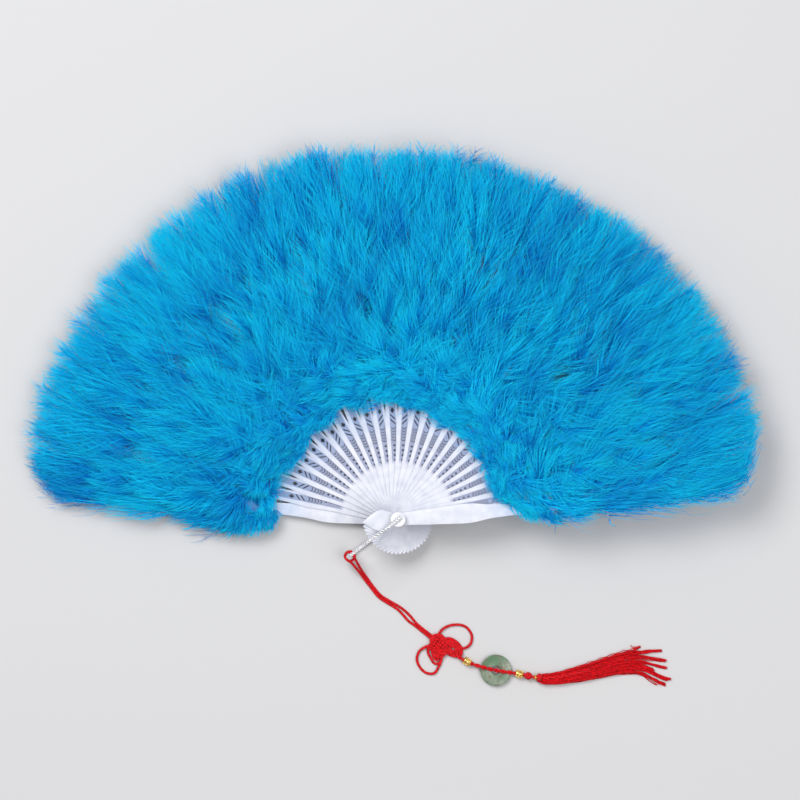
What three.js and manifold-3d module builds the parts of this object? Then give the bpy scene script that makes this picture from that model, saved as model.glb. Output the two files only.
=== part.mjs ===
// A folding feather fan laid open on a table. Pierced staves between two guards turn on a rivet, each with
// its plume, and a silver bail on the rivet holds a knotted cord with beads, a stone ring and a tassel.
// Millimetres, +Z up. The rivet stands on the origin, and the open fan reaches out around +Y.
import * as THREE from 'three';
import { mergeVertices } from 'three/addons/utils/BufferGeometryUtils.js';
import Module from 'manifold-3d';

const wasm = await Module();
wasm.setup();

// Layout of the open fan: angles in degrees, turned from the +X axis
const staveCount = 24;
const frontGuardAngle = 5;
const rearGuardAngle = 175;
const bailAngle = 217;

// Running clearance between moving pieces, and between a piece and its seat
const clearance = 0.3;

// Sticks: two plain guards and the pierced staves between them
const guardThickness = 2;
const staveThickness = 0.7;
const stickReach = 195;
const tipHalfWidth = 2.2;
const shankReach = 76;
const shankHalfWidth = 4;
const neckReach = 62;
const neckHalfWidth = 4.8;
const bulgeReach = 47;
const guardBulgeHalfWidth = 6.6;
const staveBulgeHalfWidth = 4.1;
const waistHalfWidth = 4.3;
const headReach = 24;
const headHalfWidth = 7;

// Piercing of a stave, from the pivot outwards, in a strip a little to the right of its middle line
const piercingOffset = 0.5;
const dotCount = 4;
const dotReach = 40;
const dotPitch = 3.3;
const dotRadius = 0.7;
const chevronBridge = 2;
const chevronCount = 5;
const chevronPitch = 2;
const chevronStroke = 0.7;
const slitBridge = 2.9;
const slitCount = 2;
const slitPitch = 3.2;
const slitWidth = 1.1;
const diamondBridge = 1.9;
const diamondHalfLength = 2;

// Plumes
const plumeStart = 78;
const plumeReach = 250;
const plumeHalfWidth = 40;

// Rivet
const pinRadius = 2;
const rivetHeadRadius = 5.2;
const rivetHeadThickness = 1;
const rivetHeadChamfer = 0.4;

// Bail
const bailWireDiameter = 3;
const bailReach = 41.7;
const bailCornerRadius = 6;

// Cord, knot and what is threaded on the cord
const cordDiameter = 1.2;
const cordLift = 0.1;
const knotCordDiameter = 2.1;
const knotPitch = 4.1;
const knotHalfSize = 5.6;
const earCordDiameter = 1.6;
const stopperRadius = 2.8;
const strandSpacing = 1.6;
const beadRadius = 2.75;
const beadLength = 4.6;
const beadGroove = 0.5;
const ringRadius = 10.6;
const ringHoleRadius = 2.8;
const ringThickness = 1.8;
const ringEdge = 0.4;
const tasselNeckRadius = 1.9;
const tasselNeckLength = 2.8;
const tasselCapRadius = 2.9;
const tasselCapLength = 4;
const tasselBundleDiameter = 2.5;

// Heights of the stack on the rivet, from the table up
const rearArmHeight = rivetHeadThickness + clearance + bailWireDiameter / 2;
const rearGuardHeight = rearArmHeight + bailWireDiameter / 2 + clearance;
const firstStaveHeight = rearGuardHeight + guardThickness + clearance;
const stavePitch = staveThickness + clearance;
const frontGuardHeight = firstStaveHeight + staveCount * stavePitch;
const frontArmHeight = frontGuardHeight + guardThickness + clearance + bailWireDiameter / 2;
const stackHeight = frontArmHeight + bailWireDiameter / 2 + clearance + rivetHeadThickness;
const guardPlumeDepth = rearGuardHeight + guardThickness;

// Shares of the size that each one follows
const chevronSpanShare = 0.36;
const chevronDepthShare = 0.7;
const slitSpanShare = 0.4;
const slitSlantShare = 1.0;
const diamondWidthShare = 0.7;
const upperWeaveShare = 1.3;
const beadRidgeShare = 0.66;
const beadValleyShare = 0.33;

// Places along a stave of its groups of holes, each past the one before and a bridge of plastic
const chevronSpan = neckHalfWidth * chevronSpanShare;
const chevronDepth = chevronSpan * chevronDepthShare;
const chevronReach = dotReach + (dotCount - 1) * dotPitch + dotRadius + chevronBridge;
const lastChevron = chevronReach + (chevronCount - 1) * chevronPitch;
const slitReach = lastChevron + chevronDepth + chevronStroke + slitBridge;
const lastSlit = slitReach + (slitCount - 1) * slitPitch;
const diamondReach = lastSlit + slitWidth + diamondBridge + diamondHalfLength;

// Facets, and steps along each kind of cord
const boreFacets = 10;
const dotFacets = 4;
const edgeSegments = 11;
const turnedFacets = 14;
const cordSides = 8;
const bundleSides = 5;
const stopperSides = 8;
const stopperRows = 6;
const bailSteps = 22;
const upperCordSteps = 56;
const entrySteps = 3;
const weaveSteps = 14;
const earSteps = 12;
const lobeSteps = 8;
const strandSteps = 14;
const bundleSteps = 6;

// Lean of each stave's slits, from the rear guard to the front: some staves were laid in turned over
const leans = [-1, 1, -1, 1, 1, -1, -1, 1, 1, 1, -1, 1, -1, 1, 1, -1, 1, 1, -1, 1, 1, -1, 1, 1];

// Edge of a plume's tufts: share of its length, share of its half width
const tuftShares = [
  [0.0, 0.26],
  [0.15, 0.54],
  [0.33, 0.78],
  [0.52, 0.94],
  [0.7, 1.0],
  [0.85, 0.88],
  [0.95, 0.56],
  [1.0, 0.18],
];
const tuftDepthShare = 0.12;
const guardOuterShare = 0.42;

// Rise of a plume's left edge over its stick, and how much more each plume has than the one below it
const plumeRiseShare = 0.9;
const plumeRise = guardPlumeDepth * plumeRiseShare;
const plumeRiseStep = clearance / 3;

// Routes of the cord, in millimetres, each point chosen by hand
const upperCordRoute = [
  [20.0, -77.0, 1.7],
  [16.4, -74.3, 1.1],
  [12.0, -70.4, 0.8],
  [8.7, -66.4, 0.8],
  [4.9, -62.6, 0.8],
  [1.2, -59.8, 0.8],
  [-5.2, -56.1, 0.8],
  [-11.6, -52.0, 0.8],
  [-16.9, -45.9, 1.0],
  [-21.6, -39.4, 2.0],
  [-24.3, -35.5, 4.6],
  [-26.6, -31.6, 8.0],
  [-29.2, -26.8, 11.0],
  [-31.5, -23.2, 12.0],
  [-33.4, -22.4, 12.2],
  [-35.2, -23.3, 12.2],
  [-35.9, -25.2, 12.2],
  [-35.1, -27.0, 12.0],
  [-31.8, -29.5, 11.0],
  [-28.6, -33.1, 8.0],
  [-25.8, -36.6, 4.6],
  [-23.0, -40.5, 2.0],
  [-18.2, -46.8, 1.0],
  [-12.8, -53.3, 0.8],
  [-6.1, -57.7, 0.8],
  [-0.3, -61.4, 0.8],
  [3.5, -65.2, 0.8],
  [6.8, -69.0, 0.8],
  [10.9, -72.0, 0.8],
  [15.4, -75.6, 1.1],
  [19.0, -78.4, 1.7],
];
const entryRoutes = [
  [
    [20.24, -77.18, 1.73],
    [21.6, -78.3, 1.9],
    [23.6, -79.9, 2.0],
    [25.8, -82.2, 2.0],
  ],
  [
    [19.24, -78.58, 1.73],
    [20.4, -79.5, 1.9],
    [22.4, -81.2, 2.0],
    [24.6, -83.4, 2.0],
  ],
];
const upperEarRoute = [
  [25.6, -82.0, 1.9],
  [27.0, -79.1, 1.6],
  [30.6, -74.6, 1.2],
  [38.3, -71.8, 1.0],
  [45.8, -73.2, 1.0],
  [50.0, -79.4, 1.0],
  [48.8, -85.2, 1.1],
  [44.8, -87.8, 1.3],
  [40.6, -87.0, 1.7],
];
const lowerEarRoute = [
  [22.6, -85.6, 1.9],
  [18.9, -86.7, 1.5],
  [14.4, -89.9, 1.1],
  [12.8, -95.2, 1.0],
  [14.9, -100.7, 1.0],
  [19.6, -104.6, 1.0],
  [24.2, -104.8, 1.0],
  [27.6, -100.2, 1.1],
  [29.6, -94.4, 1.5],
  [29.4, -90.6, 1.9],
];
const lobeRoute = [
  [30.6, -82.6, 2.2],
  [34.2, -81.6, 2.1],
  [38.6, -83.4, 1.9],
  [42.4, -88.2, 1.8],
  [42.2, -91.6, 1.8],
  [38.6, -92.6, 1.9],
  [34.6, -91.2, 2.1],
  [31.4, -88.6, 2.2],
];
const knotCentre = [27.4, -85.6];
const knotAngle = -37.6;

// The two strands below the knot: one passes over the stone ring and one under it
const overStrandRoute = [
  [38.6, -90.6, 2.6],
  [41.2, -93.4, 3.3],
  [44.2, -95.35, 3.65],
  [46.9, -96.7, 3.65],
  [49.6, -98.05, 3.7],
  [52.6, -99.1, 4.0],
  [55.4, -99.85, 4.3],
  [60.6, -101.3, 4.3],
  [66.3, -102.6, 4.3],
  [71.9, -103.55, 4.3],
  [76.8, -104.2, 4.2],
  [79.5, -104.7, 3.7],
  [82.2, -105.2, 3.65],
  [85.15, -105.75, 3.65],
  [88.2, -106.4, 3.55],
  [91.2, -106.95, 3.55],
];
const underStrandRoute = [
  [38.6, -90.6, 1.4],
  [41.2, -93.4, 1.9],
  [44.2, -95.35, 2.05],
  [46.9, -96.7, 2.05],
  [49.6, -98.05, 1.95],
  [52.6, -99.1, 1.2],
  [55.4, -99.85, 0.7],
  [60.6, -101.3, 0.7],
  [66.3, -102.6, 0.7],
  [71.9, -103.55, 0.7],
  [76.8, -104.2, 0.8],
  [79.5, -104.7, 1.9],
  [82.2, -105.2, 2.05],
  [85.15, -105.75, 2.05],
  [88.2, -106.4, 2.15],
  [91.2, -106.95, 2.15],
];

// Where the pieces on the cord sit, and which way the cord runs there in degrees
const upperBeadPlace = [46.9, -96.7];
const upperBeadAngle = -26.6;
const ringPlace = [66.3, -102.6];
const lowerBeadPlace = [82.2, -105.2];
const lowerBeadAngle = -10.6;
const stopperPlace = [88.2, -106.4];
const tasselPlace = [91.5, -107.0];
const tasselAngle = -10.6;

// Middle line of the tassel beyond its cap with its half width and height, then each bundle's end
const tasselLine = [
  [97.4, -108.1, 1.5, 2.9],
  [106.0, -107.4, 2.4, 2.5],
  [119.0, -105.1, 3.6, 2.0],
  [134.0, -101.4, 4.6, 1.6],
  [149.0, -97.4, 5.6, 1.4],
  [160.0, -95.6, 6.6, 1.35],
];
const tasselEnds = [
  [171.0, -87.6],
  [178.5, -89.4],
  [182.0, -95.4],
  [175.5, -98.4],
  [182.4, -101.4],
  [183.4, -107.6],
  [180.6, -112.0],
];

// Colours
const fluffColour = 0x1b9be8;
const stickColour = 0xf4f5fa;
const silverColour = 0xd9dadd;
const cordColour = 0xd11a22;
const goldColour = 0xd9a83c;
const stoneColour = 0x8fa387;

function toSolid(geometry) {
  const bare = geometry.clone();
  bare.deleteAttribute('normal');
  bare.deleteAttribute('uv');
  const merged = mergeVertices(bare);
  const vertProperties = new Float32Array(merged.attributes.position.array);
  const triVerts = new Uint32Array(merged.index.array);
  return new wasm.Manifold(new wasm.Mesh({ numProp: 3, vertProperties, triVerts }));
}

function toGeometry(solid) {
  const { vertProperties, triVerts } = solid.getMesh();
  const geometry = new THREE.BufferGeometry();
  geometry.setAttribute('position', new THREE.BufferAttribute(vertProperties, 3));
  geometry.setIndex(new THREE.BufferAttribute(triVerts, 1));
  geometry.computeVertexNormals();
  return geometry;
}

function joined(geometries) {
  return toGeometry(geometries.map(toSolid).reduce((whole, next) => whole.add(next)));
}

function material(color, roughness, metalness) {
  return new THREE.MeshStandardMaterial({ color, roughness, metalness });
}

function piece(name, geometry, itsMaterial) {
  const mesh = new THREE.Mesh(geometry, itsMaterial);
  mesh.name = name;
  return mesh;
}

// Points of a circle, flat in its own plane
function circle(radius, sides, x, y) {
  return Array.from({ length: sides }, (_, i) => {
    const turn = (2 * Math.PI * i) / sides;
    return new THREE.Vector2(x + radius * Math.cos(turn), y + radius * Math.sin(turn));
  });
}

// A round cord or wire along a smooth curve through the points
function tube(points, diameter, steps, sides) {
  const section = new THREE.Shape(circle(diameter / 2, sides, 0, 0));
  const extrudePath = new THREE.CatmullRomCurve3(points.map((p) => new THREE.Vector3(...p)));
  return new THREE.ExtrudeGeometry(section, { steps, extrudePath });
}

// A turned piece about the Z axis; a ring's profile closes on itself
function turned(profile) {
  const points = profile.map(([radius, height]) => new THREE.Vector2(radius, height));
  return new THREE.LatheGeometry(points, turnedFacets).rotateX(Math.PI / 2);
}

// A flat piece with holes, from z = 0 up to its thickness
function flat(outline, holes, thickness) {
  const shape = new THREE.Shape(outline);
  shape.holes = holes.map((points) => new THREE.Path(points));
  return new THREE.ExtrudeGeometry(shape, { depth: thickness, bevelEnabled: false });
}

// Half width of the straight outer shank of a stick
function shankHalf(reach) {
  const share = (reach - shankReach) / (stickReach - shankReach);
  return THREE.MathUtils.lerp(shankHalfWidth, tipHalfWidth, share);
}

// A stick lies along +X: narrow tip, tapering shank, bulge, waist at the pivot and leaf-shaped head
function stickOutline(bulgeHalf) {
  const edge = new THREE.SplineCurve([
    new THREE.Vector2(shankReach, shankHalfWidth),
    new THREE.Vector2(neckReach, neckHalfWidth),
    new THREE.Vector2(bulgeReach, bulgeHalf),
    new THREE.Vector2(bulgeReach / 2, (bulgeHalf + waistHalfWidth) / 2),
    new THREE.Vector2(0, waistHalfWidth),
    new THREE.Vector2(-headReach / 2, headHalfWidth),
    new THREE.Vector2(-headReach, 0),
  ]).getPoints(edgeSegments);
  const upper = [new THREE.Vector2(stickReach, tipHalfWidth), ...edge];
  const lower = upper.slice(0, -1).map((p) => new THREE.Vector2(p.x, -p.y));
  return [...upper, ...lower.reverse()];
}

// An arrow of two strokes that points at the pivot
function chevron(reach) {
  return [
    [reach, 0],
    [reach + chevronDepth, chevronSpan],
    [reach + chevronDepth + chevronStroke, chevronSpan],
    [reach + chevronStroke, 0],
    [reach + chevronDepth + chevronStroke, -chevronSpan],
    [reach + chevronDepth, -chevronSpan],
  ].map(([x, y]) => new THREE.Vector2(x, y));
}

// A slit slanting across the stave
function slit(reach, lean) {
  const span = shankHalf(reach) * slitSpanShare;
  const slant = lean * span * slitSlantShare;
  return [
    [reach - slant, -span],
    [reach - slant + slitWidth, -span],
    [reach + slant + slitWidth, span],
    [reach + slant, span],
  ].map(([x, y]) => new THREE.Vector2(x, y));
}

function diamond() {
  const span = diamondHalfLength * diamondWidthShare;
  return [
    [diamondReach - diamondHalfLength, 0],
    [diamondReach, -span],
    [diamondReach + diamondHalfLength, 0],
    [diamondReach, span],
  ].map(([x, y]) => new THREE.Vector2(x, y));
}

function pivotBore() {
  return circle(pinRadius + clearance, boreFacets, 0, 0);
}

function staveHoles(lean) {
  const holes = [diamond()];
  for (let i = 0; i < dotCount; i++) {
    holes.push(circle(dotRadius, dotFacets, dotReach + i * dotPitch, 0));
  }
  for (let i = 0; i < chevronCount; i++) {
    holes.push(chevron(chevronReach + i * chevronPitch));
  }
  for (let i = 0; i < slitCount; i++) {
    holes.push(slit(slitReach + i * slitPitch, lean));
  }
  holes.flat().forEach((point) => {
    point.y -= piercingOffset;
  });
  return [pivotBore(), ...holes];
}

// One edge of a plume from its root to its tip, with a valley between each two tufts
function plumeEdge(widthShare) {
  const tufts = tuftShares.map(([along, across]) => {
    const x = THREE.MathUtils.lerp(plumeStart, plumeReach, along);
    const root = shankHalf(plumeStart) * 2;
    return new THREE.Vector2(x, Math.max(root, plumeHalfWidth * across * widthShare));
  });
  tufts[tufts.length - 1].y = plumeHalfWidth * tuftShares[tuftShares.length - 1][1] * widthShare;
  return tufts.flatMap((tuft, i) => {
    if (i === tufts.length - 1) {
      return [tuft];
    }
    const valley = tuft.clone().lerp(tufts[i + 1], 0.5);
    valley.y *= 1 - tuftDepthShare;
    return [tuft, valley];
  });
}

// A plume forks round the shank of its stick and meets beyond the stick's tip
function plumeOutline(leftShare, rightShare) {
  const left = plumeEdge(leftShare);
  const right = plumeEdge(rightShare).map((p) => new THREE.Vector2(p.x, -p.y));
  const rootHalf = shankHalf(plumeStart) + clearance;
  const tipHalf = tipHalfWidth + clearance;
  return [
    new THREE.Vector2(plumeStart, rootHalf),
    ...left,
    ...right.reverse(),
    new THREE.Vector2(plumeStart, -rootHalf),
    new THREE.Vector2(stickReach + clearance, -tipHalf),
    new THREE.Vector2(stickReach + clearance, tipHalf),
  ];
}

// Sets a piece that was drawn along +X on the rivet, turned to its place in the fan
function onRivet(mesh, angle, height) {
  mesh.rotation.z = THREE.MathUtils.degToRad(angle);
  mesh.position.z = height;
  return mesh;
}

function staveAngle(number) {
  return THREE.MathUtils.lerp(rearGuardAngle, frontGuardAngle, number / (staveCount + 1));
}

function buildSticks(fan) {
  const stick = material(stickColour, 0.35, 0);
  const guard = flat(stickOutline(guardBulgeHalfWidth), [pivotBore()], guardThickness);
  const outline = stickOutline(staveBulgeHalfWidth);
  fan.add(onRivet(piece('rear_guard', guard, stick), rearGuardAngle, rearGuardHeight));
  for (let number = 1; number <= staveCount; number++) {
    const stave = flat(outline, staveHoles(leans[number - 1]), staveThickness);
    const name = `stave_${String(number).padStart(2, '0')}`;
    const height = firstStaveHeight + (number - 1) * stavePitch;
    fan.add(onRivet(piece(name, stave, stick), staveAngle(number), height));
  }
  fan.add(onRivet(piece('front_guard', guard.clone(), stick), frontGuardAngle, frontGuardHeight));
}

// Tilts a plume about its stick: its left edge lies up over the plume before it, as a shingle does, and
// its right edge hangs under the next one. What lies on the table stays there.
function tilted(geometry, number, onTable) {
  const slope = (plumeRise + number * plumeRiseStep) / plumeHalfWidth;
  const places = geometry.attributes.position;
  for (let i = 0; i < places.count; i++) {
    if (!onTable || places.getZ(i) > 0) {
      places.setZ(i, places.getZ(i) + places.getY(i) * slope);
    }
  }
  return geometry;
}

// The guards' plumes are the cushion under the fan and the cushion on top; the others are thin leaves
function buildPlumes(fan) {
  const fluff = material(fluffColour, 0.95, 0);
  const rear = tilted(flat(plumeOutline(guardOuterShare, 1), [], guardPlumeDepth), 0, true);
  fan.add(onRivet(piece('rear_plume', rear, fluff), rearGuardAngle, 0));
  for (let number = 1; number <= staveCount; number++) {
    const plume = tilted(flat(plumeOutline(1, 1), [], staveThickness), number, false);
    const name = `plume_${String(number).padStart(2, '0')}`;
    const height = firstStaveHeight + (number - 1) * stavePitch;
    fan.add(onRivet(piece(name, plume, fluff), staveAngle(number), height));
  }
  const depth = stackHeight - frontGuardHeight;
  const front = tilted(flat(plumeOutline(1, guardOuterShare), [], depth), staveCount + 1, false);
  fan.add(onRivet(piece('front_plume', front, fluff), frontGuardAngle, frontGuardHeight));
}

function buildRivet(fan) {
  const rivet = turned([
    [0, 0],
    [rivetHeadRadius - rivetHeadChamfer, 0],
    [rivetHeadRadius, rivetHeadChamfer],
    [rivetHeadRadius, rivetHeadThickness],
    [pinRadius, rivetHeadThickness],
    [pinRadius, stackHeight - rivetHeadThickness],
    [rivetHeadRadius, stackHeight - rivetHeadThickness],
    [rivetHeadRadius, stackHeight - rivetHeadChamfer],
    [rivetHeadRadius - rivetHeadChamfer, stackHeight],
    [0, stackHeight],
  ]);
  fan.add(piece('rivet', rivet, material(silverColour, 0.3, 1)));
}

// One arm lies under the fan and one on top, each ending in an eye round the pin; the bow stands beside
function buildBail(fan) {
  const eyeRadius = pinRadius + clearance + bailWireDiameter / 2;
  const bend = bailCornerRadius * (1 - Math.SQRT1_2);
  const quarter = (height, way) => [
    [bailReach - bailCornerRadius, 0, height],
    [bailReach - bend, 0, height + way * bend],
    [bailReach, 0, height + way * bailCornerRadius],
  ];
  const middle = (rearArmHeight + frontArmHeight) / 2;
  const wire = tube(
    [
      [eyeRadius, 0, rearArmHeight],
      [bailReach / 2, 0, rearArmHeight],
      ...quarter(rearArmHeight, 1),
      [bailReach, 0, middle],
      ...quarter(frontArmHeight, -1).reverse(),
      [bailReach / 2, 0, frontArmHeight],
      [eyeRadius, 0, frontArmHeight],
    ],
    bailWireDiameter,
    bailSteps,
    cordSides,
  );
  const section = circle(bailWireDiameter / 2, cordSides, eyeRadius, 0);
  const ring = [...section, section[0]].map((p) => [p.x, p.y]);
  const eyes = [rearArmHeight, frontArmHeight].map((height) => turned(ring).translate(0, 0, height));
  const bail = piece('bail', joined([wire, ...eyes]), material(silverColour, 0.35, 0.9));
  fan.add(onRivet(bail, bailAngle, 0));
}

// A back and forth run of cord across the knot's body, at one height
function knotWeave(height, turn) {
  const points = [];
  for (const [row, way] of [
    [-1, 1],
    [0, -1],
    [1, 1],
  ]) {
    for (const end of [-way, 0, way]) {
      points.push([end * knotHalfSize, row * knotPitch, height]);
    }
  }
  const weave = tube(points, knotCordDiameter, weaveSteps, bundleSides);
  const angle = THREE.MathUtils.degToRad(knotAngle + turn);
  return weave.rotateZ(angle).translate(knotCentre[0], knotCentre[1], 0);
}

function buildCord(tassel) {
  const cord = material(cordColour, 0.6, 0);
  tassel.add(piece('cord_upper', tube(upperCordRoute, cordDiameter, upperCordSteps, cordSides), cord));
  const stopper = new THREE.SphereGeometry(stopperRadius, stopperSides, stopperRows);
  stopper.translate(stopperPlace[0], stopperPlace[1], stopperRadius);
  const knot = joined([
    knotWeave(knotCordDiameter / 2, 0),
    knotWeave(knotCordDiameter * upperWeaveShare, 90),
    ...entryRoutes.map((route) => tube(route, cordDiameter, entrySteps, cordSides)),
    tube(upperEarRoute, earCordDiameter, earSteps, bundleSides),
    tube(lowerEarRoute, earCordDiameter, earSteps, bundleSides),
    tube(lobeRoute, knotCordDiameter, lobeSteps, bundleSides),
    tube(overStrandRoute, cordDiameter, strandSteps, cordSides),
    tube(underStrandRoute, cordDiameter, strandSteps, cordSides),
    stopper,
  ]);
  tassel.add(piece('knot', knot, cord));
}

// A bored gold bead with rounded rings along it
function bead() {
  const bore = strandSpacing / 2 + cordDiameter / 2 + clearance;
  const waist = beadRadius - beadGroove;
  const half = beadLength / 2;
  return turned([
    [bore, -half],
    [waist, -half],
    [beadRadius, -half * beadRidgeShare],
    [waist, -half * beadValleyShare],
    [beadRadius, 0],
    [waist, half * beadValleyShare],
    [beadRadius, half * beadRidgeShare],
    [waist, half],
    [bore, half],
    [bore, -half],
  ]);
}

// Lays a turned piece down along the cord
function alongCord(geometry, place, angle, height) {
  geometry.rotateY(Math.PI / 2).rotateZ(THREE.MathUtils.degToRad(angle));
  return geometry.translate(place[0], place[1], height);
}

function buildThreaded(tassel) {
  const gold = material(goldColour, 0.3, 1);
  const height = beadRadius + cordLift;
  const upper = alongCord(bead(), upperBeadPlace, upperBeadAngle, height);
  const lower = alongCord(bead(), lowerBeadPlace, lowerBeadAngle, height);
  tassel.add(piece('gold_bead_upper', upper, gold));
  tassel.add(piece('gold_bead_lower', lower, gold));
  const ring = turned([
    [ringHoleRadius, 0],
    [ringRadius - ringEdge, 0],
    [ringRadius, ringEdge],
    [ringRadius, ringThickness - ringEdge],
    [ringRadius - ringEdge, ringThickness],
    [ringHoleRadius, ringThickness],
    [ringHoleRadius, 0],
  ]);
  ring.translate(ringPlace[0], ringPlace[1], cordLift + cordDiameter + clearance);
  tassel.add(piece('jade_disc', ring, material(stoneColour, 0.35, 0)));
}

// A neck and cap lying along the cord, and bundles of thread that spread to their ends
function buildTassel(tassel) {
  const cap = turned([
    [0, 0],
    [tasselNeckRadius, 0],
    [tasselNeckRadius, tasselNeckLength],
    [tasselCapRadius, tasselNeckLength],
    [tasselCapRadius, tasselNeckLength + tasselCapLength],
    [0, tasselNeckLength + tasselCapLength],
  ]);
  const parts = [alongCord(cap, tasselPlace, tasselAngle, tasselCapRadius)];
  tasselEnds.forEach(([x, y], i) => {
    const side = 1 - (2 * i) / (tasselEnds.length - 1);
    const route = tasselLine.map(([mx, my, half, height]) => [mx, my + side * half, height]);
    route.push([x, y, tasselBundleDiameter / 2]);
    parts.push(tube(route, tasselBundleDiameter, bundleSteps, bundleSides));
  });
  tassel.add(piece('tassel', joined(parts), material(cordColour, 0.7, 0)));
}

function buildFan() {
  const fan = new THREE.Group();
  buildSticks(fan);
  buildPlumes(fan);
  buildRivet(fan);
  buildBail(fan);
  buildCord(fan);
  buildThreaded(fan);
  buildTassel(fan);
  return fan;
}

export default buildFan();
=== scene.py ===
"""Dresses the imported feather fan: down plumes, moulded sticks, silver bail, knotted cord and tassel."""

from __future__ import annotations

import itertools
import logging
import math
from dataclasses import dataclass, field
from enum import Enum
from typing import Iterable, NamedTuple, Sequence

import bmesh
import bpy
import numpy as np
from mathutils import Matrix, Vector

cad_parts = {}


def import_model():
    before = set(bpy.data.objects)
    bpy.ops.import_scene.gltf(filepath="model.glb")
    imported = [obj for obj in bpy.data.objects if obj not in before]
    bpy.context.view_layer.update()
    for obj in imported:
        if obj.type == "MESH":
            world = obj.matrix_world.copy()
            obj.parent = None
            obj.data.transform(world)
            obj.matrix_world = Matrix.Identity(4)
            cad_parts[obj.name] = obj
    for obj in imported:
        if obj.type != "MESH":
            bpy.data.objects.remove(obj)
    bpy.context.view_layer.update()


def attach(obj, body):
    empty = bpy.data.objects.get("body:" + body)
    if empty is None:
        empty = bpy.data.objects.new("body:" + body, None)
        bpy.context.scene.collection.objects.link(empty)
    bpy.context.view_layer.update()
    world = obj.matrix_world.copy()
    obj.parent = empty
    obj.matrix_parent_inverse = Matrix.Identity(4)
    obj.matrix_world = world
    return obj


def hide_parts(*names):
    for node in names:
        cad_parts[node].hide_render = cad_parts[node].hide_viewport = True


LOG = logging.getLogger("feather_fan")
MM = 0.001
MM_IN_METRE = 1000.0
STRAND_MAP = "OFBake"
STRING_BODY = "tassel_string"
FULL_TURN = 2.0 * math.pi
MERGE_DISTANCE = 1e-4 * MM

Colour = tuple[float, float, float, float]
Point = tuple[float, float, float]
Pairs = tuple[tuple[float, float], ...]
Socket = bpy.types.NodeSocket
Shape = bmesh.types.BMesh
Rng = np.random.Generator
BLACK: Colour = (0.0, 0.0, 0.0, 1.0)
WHITE: Colour = (1.0, 1.0, 1.0, 1.0)


class Slot(Enum):
    """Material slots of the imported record."""

    FLUFF = "fluff"
    STICK = "stick_plastic"
    SILVER = "silver"
    RED_CORD = "red_cord"
    GOLD = "gold"
    JADE = "jade"


class Side(Enum):
    """Face of the fan that a feather is tied to."""

    FRONT = 1
    BACK = -1


class CordKind(Enum):
    """How a free run of cord is laid."""

    HITCHED = "one strand, hitched round the bail"
    DOUBLED = "two strands together"
    SINGLE = "one thin strand"


# Finishes


class Shader:
    """A material's node tree, with short calls that add and join its nodes."""

    def __init__(self, name: str) -> None:
        """Starts a material with one Principled BSDF.

        Args:
            name: The material's name.
        """
        self.material = bpy.data.materials.new(name)
        self.material.use_nodes = True
        self.nodes = self.material.node_tree.nodes
        self.links = self.material.node_tree.links
        self.bsdf = self.nodes["Principled BSDF"]

    def feed(self, value: object, socket: Socket) -> None:
        """Links a socket to another one, or sets its plain value."""
        if isinstance(value, bpy.types.NodeSocket):
            self.links.new(value, socket)
        else:
            socket.default_value = value

    def surface(self, **values: object) -> None:
        """Sets or links inputs of the Principled BSDF, each by its name in lower case."""
        sockets = {socket.name.lower().replace(" ", "_"): socket for socket in self.bsdf.inputs}
        for name, value in values.items():
            self.feed(value, sockets[name])

    def ramp(self, source: Socket, stops: Sequence[tuple[float, Colour]]) -> Socket:
        """Adds a colour ramp.

        Args:
            source: The value that it reads.
            stops: Places from 0 to 1, each with its colour.

        Returns:
            The ramp's colour socket.
        """
        node = self.nodes.new("ShaderNodeValToRGB")
        elements = node.color_ramp.elements
        while len(elements) < len(stops):
            elements.new(1.0)
        for element, (place, colour) in zip(elements, stops):
            element.position = place
            element.color = colour
        self.feed(source, node.inputs["Fac"])
        return node.outputs["Color"]

    def mix(self, kind: str, factor: object, first: object, second: object) -> Socket:
        """Mixes two colours.

        Args:
            kind: Blend type, such as MIX or MULTIPLY.
            factor: Share of the second colour, a number or a socket.
            first: First colour or socket.
            second: Second colour or socket.

        Returns:
            The mixed colour's socket.
        """
        node = self.nodes.new("ShaderNodeMix")
        node.data_type = "RGBA"
        node.blend_type = kind
        sockets = {socket.identifier: socket for socket in node.inputs}
        self.feed(factor, sockets["Factor_Float"])
        self.feed(first, sockets["A_Color"])
        self.feed(second, sockets["B_Color"])
        return next(s for s in node.outputs if s.identifier == "Result_Color")

    def above(self, source: Socket, limit: float) -> Socket:
        """Gives 1 where a value is greater than a limit, and 0 elsewhere."""
        node = self.nodes.new("ShaderNodeMath")
        node.operation = "GREATER_THAN"
        self.feed(source, node.inputs[0])
        node.inputs[1].default_value = limit
        return node.outputs[0]

    def strand_place(self) -> tuple[Socket, Socket]:
        """Reads the strand map.

        Returns:
            The tint of the strand, and the place along it.
        """
        place = self.nodes.new("ShaderNodeUVMap")
        place.uv_map = STRAND_MAP
        parts = self.nodes.new("ShaderNodeSeparateXYZ")
        self.feed(place.outputs["UV"], parts.inputs["Vector"])
        return parts.outputs["X"], parts.outputs["Y"]

    def grain(self, tree: bpy.types.NodeTree, scale: float, depth: float) -> tuple[Socket, Socket]:
        """Places the shared grain.

        Args:
            tree: The grain's node group.
            scale: Scale of its noise.
            depth: Strength of its relief.

        Returns:
            The mask and the normal.
        """
        node = self.nodes.new("ShaderNodeGroup")
        node.node_tree = tree
        node.inputs["Scale"].default_value = scale
        node.inputs["Depth"].default_value = depth
        return node.outputs["Mask"], node.outputs["Normal"]


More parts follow.
